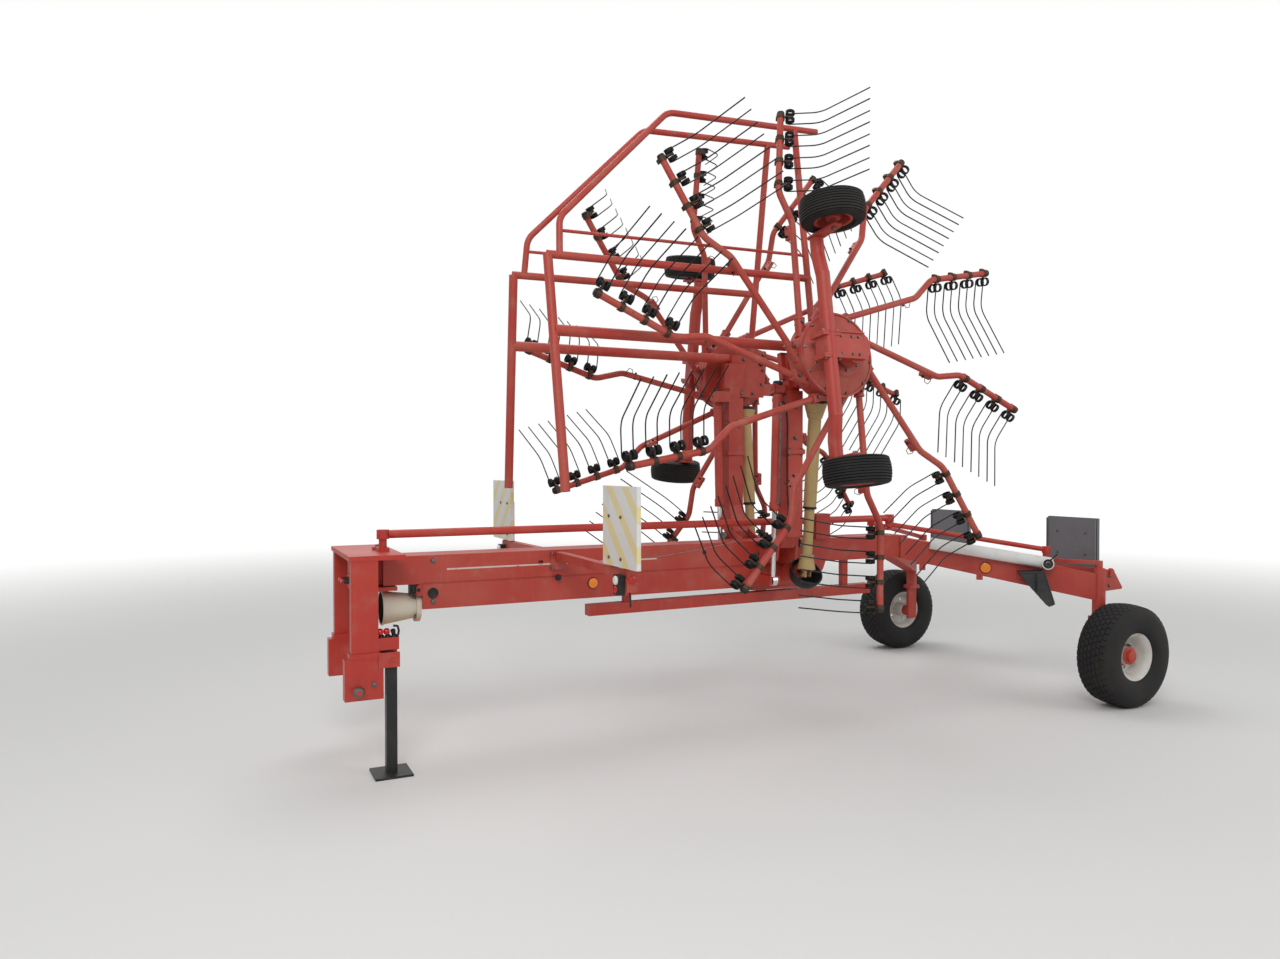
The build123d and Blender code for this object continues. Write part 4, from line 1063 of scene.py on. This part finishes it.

# %% [markdown]
# The beam's own small parts come next: the bolts of its flanges and hinge brackets, the caps of the
# hinge pins, the lock knob, an amber reflector, a black recessed plug in the round port on each flank,
# whose black is painted shade for the port's hole, and the flush cover over the slot behind the port.
# They could be separate objects, but nothing on the beam moves by itself, so one mesh that rides on the
# chassis is enough.

# %% Beam fittings
flanks = ((0.110, 1), (-0.110, -1))
cone_seat = at(4.620, 0, 0.852)


def flange_bolts(form):
    for y, direction in flanks:
        for forward, heights in ((4.560, (1.120, 0.885)), (3.770, (1.122, 1.050)), (1.990, (1.110, 0.880))):
            for height in heights:
                form.bolt(at(forward, y, height), (0, direction, 0), 0.020, 0.013)
        for forward in (2.155, 2.347):
            for height in (1.010, 1.070, 1.130):
                form.bolt(at(forward, y + direction * 0.0005, height), (0, direction, 0), 0.019, 0.012)
    for spot in circle(cone_seat + x_axis * 0.026, y_axis, z_axis, 0.080, 4, math.pi / 4):
        form.bolt(spot, x_axis, 0.017, 0.011)


def beam_fittings():
    form = Form(dark_bolt)
    flange_bolts(form)
    pin_cap = ((0.001, 0.012), (0.028, 0.012), (0.030, 0.008), (0.030, 0.001))
    for y in (-fold_pivot.y, fold_pivot.y):
        for forward, direction in ((2.138, -1), (2.364, 1)):
            form.lathe(at(forward, y, fold_pivot.z), (direction, 0, 0), pin_cap, 24)
    form.skin = black_plastic
    knob = ((0.001, 0.040), (0.014, 0.038), (0.019, 0.030), (0.019, 0.022), (0.010, 0.014), (0.008, 0.0))
    form.lathe(at(3.801, 0.110, 0.986), y_axis, knob, 24)
    holder = ((0.036, 0), (0.036, 0.004), (0.031, 0.006))
    # The port is a black recessed disc: its black is painted shade standing in for the port's hole.
    port_shade_disc = ((0.031, 0), (0.031, 0.0040), (0.028, 0.0055), (0.025, 0.0038), (0.023, 0.0024), (0.001, 0.0022))
    lens = ((0.031, 0.004), (0.031, 0.008), (0.026, 0.011), (0.001, 0.012))
    for y, direction in flanks:
        form.lathe(at(3.562, y, 0.935), (0, direction, 0), holder, 32)
        form.lathe(at(4.561, y, 0.934), (0, direction, 0), port_shade_disc, 32)
    form.skin = beam_red
    half_cover = [(-0.056, -0.024), (-0.048, -0.031), (0.048, -0.031), (0.056, -0.024)]
    cover = half_cover + [(-x, -y) for x, y in half_cover]
    for y, direction in flanks:
        form.prism(at(4.478, y + direction * 0.0002, 0.922), x_axis, z_axis, cover, -direction * 0.0010)
    form.skin = amber_plastic
    for y, direction in flanks:
        form.lathe(at(3.562, y, 0.935), (0, direction, 0), lens, 32)
    return form


beam_fittings().piece("beam_fittings", "chassis")
print("beam fittings done")

# %% [markdown]
# Under the beam's nose sits a small black valve with two unions and a lug beside it, and the guard cone
# gets a black lining inside, painted shade for its shadowed inside, and a thick rim to the front. The
# cone is a CAD solid, and a second finish on it would need its faces picked one by one, so thin turned
# skins are laid on it instead. The valve stays behind the line that the headstock's lower plate sweeps
# as it turns.

# %% Nose: cone mouth and valve
def cone_shade_lining_and_rim():
    form = Form(black_plastic)
    # The black lining inside the cone is painted shade: the cone's inside is only in shadow.
    form.lathe(cone_seat, x_axis, ((0.0245, 0.031), (0.0630, 0.033), (0.0918, 0.214)), 40)
    form.skin = cone_cream
    rim = [
        (0.0975, 0.206), (0.1010, 0.207), (0.1015, 0.213), (0.1000, 0.2165), (0.0925, 0.2165),
        (0.0920, 0.214),
    ]
    form.lathe(cone_seat, x_axis, rim, 48)
    return form


def valve_block():
    form = Form(black_enamel)
    body = [
        (-0.032, -0.026), (0.032, -0.026), (0.032, 0.022), (0.024, 0.030), (-0.024, 0.030), (-0.032, 0.022),
    ]
    form.prism(at(4.657, 0.098, 0.958), x_axis, z_axis, body, 0.052)
    union = ((0.012, 0), (0.012, 0.010), (0.008, 0.012), (0.008, 0.026), (0.001, 0.027))
    for forward in (4.642, 4.673):
        form.lathe(at(forward, 0.098, 0.956), y_axis, union, 6)
    pipe = [at(4.6205, 0.072, 0.930), at(4.640, 0.072, 0.930), at(4.656, 0.072, 0.950)]
    form.tube(rounded(pipe, 0.006, 4), 0.007, 10)
    form.skin = bright_red
    lug = [(0, 0), (0.034, 0), (0.034, 0.052), (0.020, 0.066), (0, 0.066)]
    form.prism(at(4.6203, 0.108, 0.922), x_axis, z_axis, lug, 0.012)
    return form


cone_shade_lining_and_rim().piece("cone_shade_lining_and_rim", "chassis")
valve_block().piece("valve_block", "chassis")
print("nose fittings done")

# %% [markdown]
# The rear warning boards are grey sheet, folded at the edges, in front of their posts. A gusset with two
# bolts stands behind each kingpin housing. Both are flat outlines pushed to a sheet's thickness, which
# gives true edges for the light to catch, where a bevel on a box would need more steps.

# %% Rear boards and leg ends
board_middle, board_half = at(-0.1248, 0.615, 1.070), 0.2115


def rear_board_pan(cut=0.012, thick=0.003):
    form = Form(board_grey)
    half = board_half
    sheet = [(-half + cut, -half), (half - cut, -half), (half, -half + cut), (half, half - cut)]
    sheet += [(half - cut, half), (-half + cut, half), (-half, half - cut), (-half, -half + cut)]
    form.prism(board_middle, y_axis, z_axis, sheet, thick)
    edge_height = 2 * (half - cut)
    edge = [(0, 0), (0.014, 0), (0.014, edge_height), (0, edge_height)]
    for y in (-half, half - thick):
        form.prism(board_middle + Vector((0, y, cut - half)), x_axis, z_axis, edge, -thick)
    form.skin = dark_bolt
    for y in (-0.120, 0.120):
        for height in (-0.060, 0.100):
            form.bolt(board_middle + Vector((thick, y, height)), x_axis, 0.012, 0.006)
    return form


def leg_end_plate():
    form = Form(old_red)
    gusset = [
        (-0.043, 0.772), (-0.046, 0.900), (-0.100, 0.934), (-0.126, 0.930), (-0.228, 0.790),
        (-0.220, 0.778),
    ]
    form.prism(at(0, 0.952, 0), x_axis, z_axis, gusset, -0.010)
    form.skin = dark_bolt
    for height in (0.880, 0.810):
        form.bolt(at(-0.085, 0.962, height), y_axis, 0.016, 0.010)
    return form


board_pan, end_plate = rear_board_pan(), leg_end_plate()
for side, place in sides:
    board_pan.piece(f"rear_board_pan_{side}", "chassis", place)
    end_plate.piece(f"leg_end_plate_{side}", "chassis", place)
print("rear boards", 2 * board_half, "m wide")

# %% [markdown]
# Each outrigger carries a lamp under its warning board, with a white lens and a red one, a round red
# reflector at its end, a clip, and the board's screws. Clear lenses could be real glass over a bulb,
# but at this size an unlit lens reads as glossy coloured plastic, and it renders without noise.

# %% Lamps on the outriggers
def board_lamp():
    form = Form(black_plastic)
    body = [(-0.038, -0.052), (0.038, -0.052), (0.038, 0.052), (-0.038, 0.052)]
    form.prism(at(3.783, 1.024, 1.046), y_axis, z_axis, body, 0.034)
    form.skin = clear_plastic
    white_lens = ((0.024, 0), (0.024, 0.006), (0.018, 0.012), (0.001, 0.014))
    form.lathe(at(3.817, 1.024, 1.070), x_axis, white_lens, 28)
    form.skin = red_plastic
    red_lens = ((0.018, 0), (0.018, 0.005), (0.013, 0.009), (0.001, 0.010))
    form.lathe(at(3.817, 1.024, 1.022), x_axis, red_lens, 28)
    reflector = ((0.022, 0), (0.022, 0.006), (0.016, 0.010), (0.001, 0.011))
    form.lathe(at(3.752, 1.0831, 1.075), y_axis, reflector, 28)
    form.skin = black_plastic
    form.tube([at(3.752, 1.045, 1.012), at(3.752, 1.060, 0.985), at(3.752, 1.062, 0.930)], 0.005, 8)
    form.skin = dark_bolt
    for y in (0.893, 1.043):
        for height in (1.180, 1.400):
            form.bolt(at(3.799, y, height), x_axis, 0.013, 0.007)
    for height in (1.045, 1.130):
        form.bolt(at(3.835, 0.1221, height), y_axis, 0.017, 0.011)
    return form


lamp_form = board_lamp()
for side, place in sides:
    lamp_form.piece(f"board_lamp_{side}", "chassis", place)
print("outrigger lamps", len(sides))

# %% [markdown]
# The left leg of the Y frame carries an amber reflector, the storage tube's two clamps and its lid with
# a ring and a catch, and the black wheel chock, whose rim, ribs and strap are added here. The leg runs
# aslant, so its fittings are placed by distance along it, outward from it and up, and not by plain
# coordinates.

# %% Left leg fittings
leg_knee, leg_end = at(1.090, 0.052, 0), at(0.020, 0.923, 0)
leg_along = (leg_end - leg_knee).normalized()
leg_outward = Vector((leg_along.y, -leg_along.x, 0))


def on_leg(distance, out, height):
    return leg_knee + leg_along * distance + leg_outward * out + z_axis * height


def chock_trim(form):
    """The chock's thick rim, its three ribs and the strap over it."""

    def on_chock(x, y):
        return on_leg(0.980 + x, 0.1592, 0.800 + y)

    form.skin = grey_plastic
    outline = ((-0.126, 0.106), (0.037, 0.116), (0.105, -0.109), (0.071, -0.125), (-0.058, 0.018))
    corners = [on_chock(x, y) for x, y in outline]
    form.tube(rounded(corners + corners[:2], 0.012, 3), 0.0055, 8)
    ribs = (
        ((-0.075, 0.040), (0.030, 0.050)),
        ((-0.030, -0.020), (0.050, -0.005)),
        ((0.010, -0.070), (0.070, -0.060)),
    )
    for ends in ribs:
        form.tube([on_chock(x, y) for x, y in ends], 0.0045, 8)
    form.skin = black_plastic
    strap = ((0.050, 0.100), (0.164, 0.100), (0.170, 0.060), (0.166, 0.010), (0.166, -0.020))
    form.tube(rounded([on_leg(0.965, out, 0.800 + y) for out, y in strap], 0.012, 4), 0.006, 8)


def tube_lid(form):
    """The storage tube's lid with its pale collar and ring, and the catch that holds it."""
    form.skin = black_plastic
    catch = [on_leg(1.040, 0.090, 0.985), on_leg(1.060, 0.150, 1.000), on_leg(1.100, 0.165, 1.045)]
    form.tube(catch, 0.005, 8)
    lid = on_leg(1.045, 0.140, 0.972)
    disc = ((0.034, -0.040), (0.034, 0.002), (0.026, 0.004), (0.020, 0.002), (0.001, 0.001))
    form.lathe(lid, leg_outward, disc, 32)
    form.skin = tube_white
    collar = (
        (0.034, -0.020), (0.041, -0.018), (0.042, 0.000), (0.040, 0.006), (0.034, 0.007), (0.033, 0.001),
    )
    form.lathe(lid, leg_outward, collar, 32)
    form.skin = dark_bolt
    form.lathe(lid, leg_outward, ((0.016, 0.001), (0.018, 0.006), (0.013, 0.008), (0.012, 0.002)), 24)


def leg_fittings():
    form = Form(black_plastic)
    reflector = on_leg(0.640, 0.050, 0.925)
    form.lathe(reflector, leg_outward, ((0.041, 0), (0.041, 0.005), (0.036, 0.007)), 32)
    form.skin = amber_plastic
    lens = ((0.036, 0.004), (0.036, 0.009), (0.030, 0.012), (0.001, 0.013))
    form.lathe(reflector, leg_outward, lens, 32)
    chock_trim(form)
    tube_lid(form)
    form.skin = old_red
    clamp_plate = [(-0.022, -0.085), (0.022, -0.085), (0.022, 0.080), (-0.022, 0.080)]
    for distance in (0.200, 0.600):
        spot = on_leg(distance, 0.0475, 1.010 - 0.15 * distance)
        form.prism(spot, leg_along, z_axis, clamp_plate, -0.006)
    return form


leg_fittings().piece("leg_fittings_left", "chassis")
print("left leg fittings done")

# %% [markdown]
# Up front the headstock carries the hydraulic couplings: four plugs parked in a rack between the posts,
# and three valves with red caps and a bent lever on the box behind the left post. There are also the
# lower link balls, a nut on the nose pin and a bolt on each foot. They could be a dozen small objects,
# but one mesh that rides on the headstock turns with it as a whole.

# %% Headstock fittings
def coupling_rack(form):
    """Four dust plugs in a row on their plate, two of them red."""
    plug = ((0.001, 0.046), (0.011, 0.046), (0.013, 0.036), (0.013, 0.010), (0.016, 0.006), (0.016, 0))
    red_end = ((0.001, 0.012), (0.012, 0.012), (0.0135, 0.006), (0.0135, -0.006))
    form.skin = black_enamel
    for y in (-0.060, -0.020, 0.020, 0.060):
        form.lathe(at(5.001, y, 1.020), x_axis, plug, 18)
    form.skin = red_plastic
    for y in (-0.060, 0.020):
        form.lathe(at(5.046, y, 1.020), x_axis, red_end, 18)
    form.skin = old_red
    plate = [(-0.095, -0.030), (0.095, -0.030), (0.095, 0.030), (-0.095, 0.030)]
    form.prism(at(5.0005, 0, 1.020), y_axis, z_axis, plate, 0.006)


def hose_valves(form):
    """Three leaning valves, two with red caps, and the lever beside them."""
    lean = Vector((0.25, 0.35, 1.0))
    valve = (
        (0.016, -0.004), (0.016, 0.006), (0.011, 0.010), (0.011, 0.026), (0.0135, 0.028), (0.0135, 0.040),
        (0.001, 0.041),
    )
    cap = ((0.0165, 0.024), (0.0165, 0.042), (0.012, 0.047), (0.001, 0.048))
    form.skin = black_enamel
    for forward in (4.822, 4.856, 4.890):
        form.lathe(at(forward, 0.326, 0.744), lean, valve, 18)
    lever = [
        at(4.806, 0.340, 0.742), at(4.800, 0.346, 0.775), at(4.812, 0.372, 0.806), at(4.836, 0.392, 0.812),
    ]
    form.tube(rounded(lever, 0.012, 4), 0.006, 10)
    form.skin = red_plastic
    for forward in (4.856, 4.890):
        form.lathe(at(forward, 0.326, 0.744), lean, cap, 18)


def headstock_fittings():
    form = Form(dark_bolt)
    ball = (
        (0.0142, -0.024), (0.022, -0.022), (0.028, -0.012), (0.030, 0), (0.028, 0.012), (0.022, 0.022),
        (0.0142, 0.024),
    )
    for side in (-1, 1):
        form.bolt(at(4.935, side * 0.3665, 0.500), (0, side, 0), 0.020, 0.012)
        form.lathe(at(5.020, side * 0.420, 0.480), (0, side, 0), ball, 28)
    nut = ((0.026, 0.050), (0.026, 0.062), (0.014, 0.066), (0.001, 0.066))
    form.lathe(at(4.840, 0, 1.153), z_axis, nut, 6)
    hose_valves(form)
    coupling_rack(form)
    return form


headstock_fittings().piece("headstock_fittings", "headstock")
print("headstock fittings done")

# %% [markdown]
# A hydraulic hose runs down the outer face of each lift arm, from a port at its head to a port low on
# the arm, and a thin steel cable is drawn tight from a clip on the beam's flank up to the hinge bracket.
# Meshes would need their own bends, but one soft curve through a few points bends evenly by itself, and
# its length can be measured.

# %% Hoses and the lock cable
def soft_line(name, body, points, diameter, skin):
    curve = bpy.data.curves.new(name, "CURVE")
    curve.dimensions = "3D"
    spline = curve.splines.new("NURBS")
    spline.points.add(len(points) - 1)
    for knot, point in zip(spline.points, points):
        knot.co = (*point, 1)
    spline.order_u = 3
    spline.use_endpoint_u = True
    curve.resolution_u = 12
    line = bpy.data.objects.new(name, curve)
    bpy.context.scene.collection.objects.link(line)
    bpy.context.view_layer.update()
    track = [v.co.copy() for v in solid_of(line).vertices]
    curve.bevel_depth = diameter / 2
    curve.bevel_resolution = 3
    curve.use_fill_caps = True
    curve.materials.append(skin)
    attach(line, body)


arm_hose = [
    at(2.345, 0.352, 2.120), at(2.335, 0.420, 2.085), at(2.322, 0.428, 1.980), at(2.318, 0.424, 1.850),
    at(2.330, 0.436, 1.760), at(2.318, 0.424, 1.670), at(2.318, 0.422, 1.560), at(2.317, 0.426, 1.440),
    at(2.312, 0.432, 1.375), at(2.305, 0.412, 1.345),
]
lock_cable = [
    at(3.115, 0.114, 1.080), at(2.900, 0.115, 1.102), at(2.680, 0.114, 1.130), at(2.512, 0.108, 1.156),
]
for side, place in sides:
    path = [place @ point for point in arm_hose]
    soft_line(f"arm_hose_{side}", f"lift_{side}", path, 0.012, black_plastic)
soft_line("lock_cable", "chassis", lock_cable, 0.004, bare_steel)

# %% [markdown]
# The stage is a plain pale floor and a bright, even surround, as under an overcast sky, so that the
# faded colours read as they are. A plain floor would end in a hard line where it meets the surround.
# Here it glows a little more with distance, for the camera alone, so it fades to white and still keeps
# the machine's shadow.

# %% Floor and surround
def pale_ground(near=4.0, far=17.0, glow=0.66):
    material, place, shader = finish("pale_ground")
    reach = place.node("ShaderNodeVectorMath", {"operation": "LENGTH"}, {0: place}, out=1)
    seen = place.node("ShaderNodeLightPath", out=0)
    level = seen * reach.between(near, far) * glow
    white = place.node("ShaderNodeCombineColor", None, {0: level, 1: level, 2: level})
    set_shader(place, shader, Base_Color=(0.80, 0.80, 0.79), Roughness=0.9)
    set_shader(place, shader, Emission_Color=white, Emission_Strength=1.0)
    bpy.ops.mesh.primitive_plane_add(size=120, location=(0, 0, 0))
    ground = bpy.context.object
    ground.name = "ground"
    ground.data.materials.append(material)


def even_sky(light=0.44):
    """The surround lights the object at one level, and shows as pure white to the camera and in metal."""
    world = bpy.data.worlds.new("even_sky")
    world.use_nodes = True
    tree = world.node_tree
    tree.nodes.clear()
    paths = tree.nodes.new("ShaderNodeLightPath")
    camera_ray = Wire(tree, paths.outputs["Is Camera Ray"])
    glossy_ray = Wire(tree, paths.outputs["Is Glossy Ray"])
    seen = camera_ray.sum_of("MAXIMUM", camera_ray, glossy_ray)
    surround = tree.nodes.new("ShaderNodeBackground")
    surround.inputs["Color"].default_value = (1.0, 1.0, 1.0, 1)
    seen.plug(surround.inputs["Strength"], light + (1 - light) * seen)
    output = tree.nodes.new("ShaderNodeOutputWorld")
    tree.links.new(surround.outputs[0], output.inputs[0])
    bpy.context.scene.world = world


pale_ground()
even_sky()
print("ground and sky set")

# %% [markdown]
# Three wide lamps give the soft light that a cloudy sky has, with the key from the camera's side. The
# camera stands at the left front corner at eye height. Its lens and heading could be tried by hand, but
# they come from fitting the wheels and boards to the photograph, so that the two pictures overlay.

# %% Lamps and camera
def soft_lamp(name, place, target, size, power):
    light = bpy.data.lights.new(name, "AREA")
    light.shape = "DISK"
    light.size = size
    light.energy = power
    holder = bpy.data.objects.new(name, light)
    holder.location = place
    holder.rotation_euler = (Vector(target) - Vector(place)).to_track_quat("-Z", "Y").to_euler()
    bpy.context.scene.collection.objects.link(holder)


def set_camera(focal_pixels=902.23, picture_pixels=1280, sensor=36):
    camera = bpy.data.cameras.new("camera")
    camera.sensor_width = sensor
    camera.sensor_fit = "HORIZONTAL"
    camera.lens = sensor * focal_pixels / picture_pixels
    camera.clip_end = 500
    holder = bpy.data.objects.new("camera", camera)
    holder.location = at(5.7529, 5.2973, 1.6658)
    turn, tilt = math.radians(64.108), math.radians(-0.859)
    look = Vector((-math.cos(turn) * math.cos(tilt), -math.sin(turn) * math.cos(tilt), math.sin(tilt)))
    holder.rotation_euler = look.to_track_quat("-Z", "Y").to_euler()
    bpy.context.scene.collection.objects.link(holder)
    bpy.context.scene.camera = holder
    return camera


soft_lamp("key_lamp", (4.5, 6.5, 6.5), (0, 0, 1.6), 4.5, 290)
soft_lamp("fill_lamp", (-5.5, 6.0, 4.5), (0, 0, 1.6), 5.0, 95)
soft_lamp("top_lamp", (0.5, -3.0, 7.5), (0, 0, 1.5), 5.0, 150)
camera = set_camera()
print("lens", round(camera.lens, 2), "mm")
bpy.context.scene.view_settings.view_transform = "Standard"
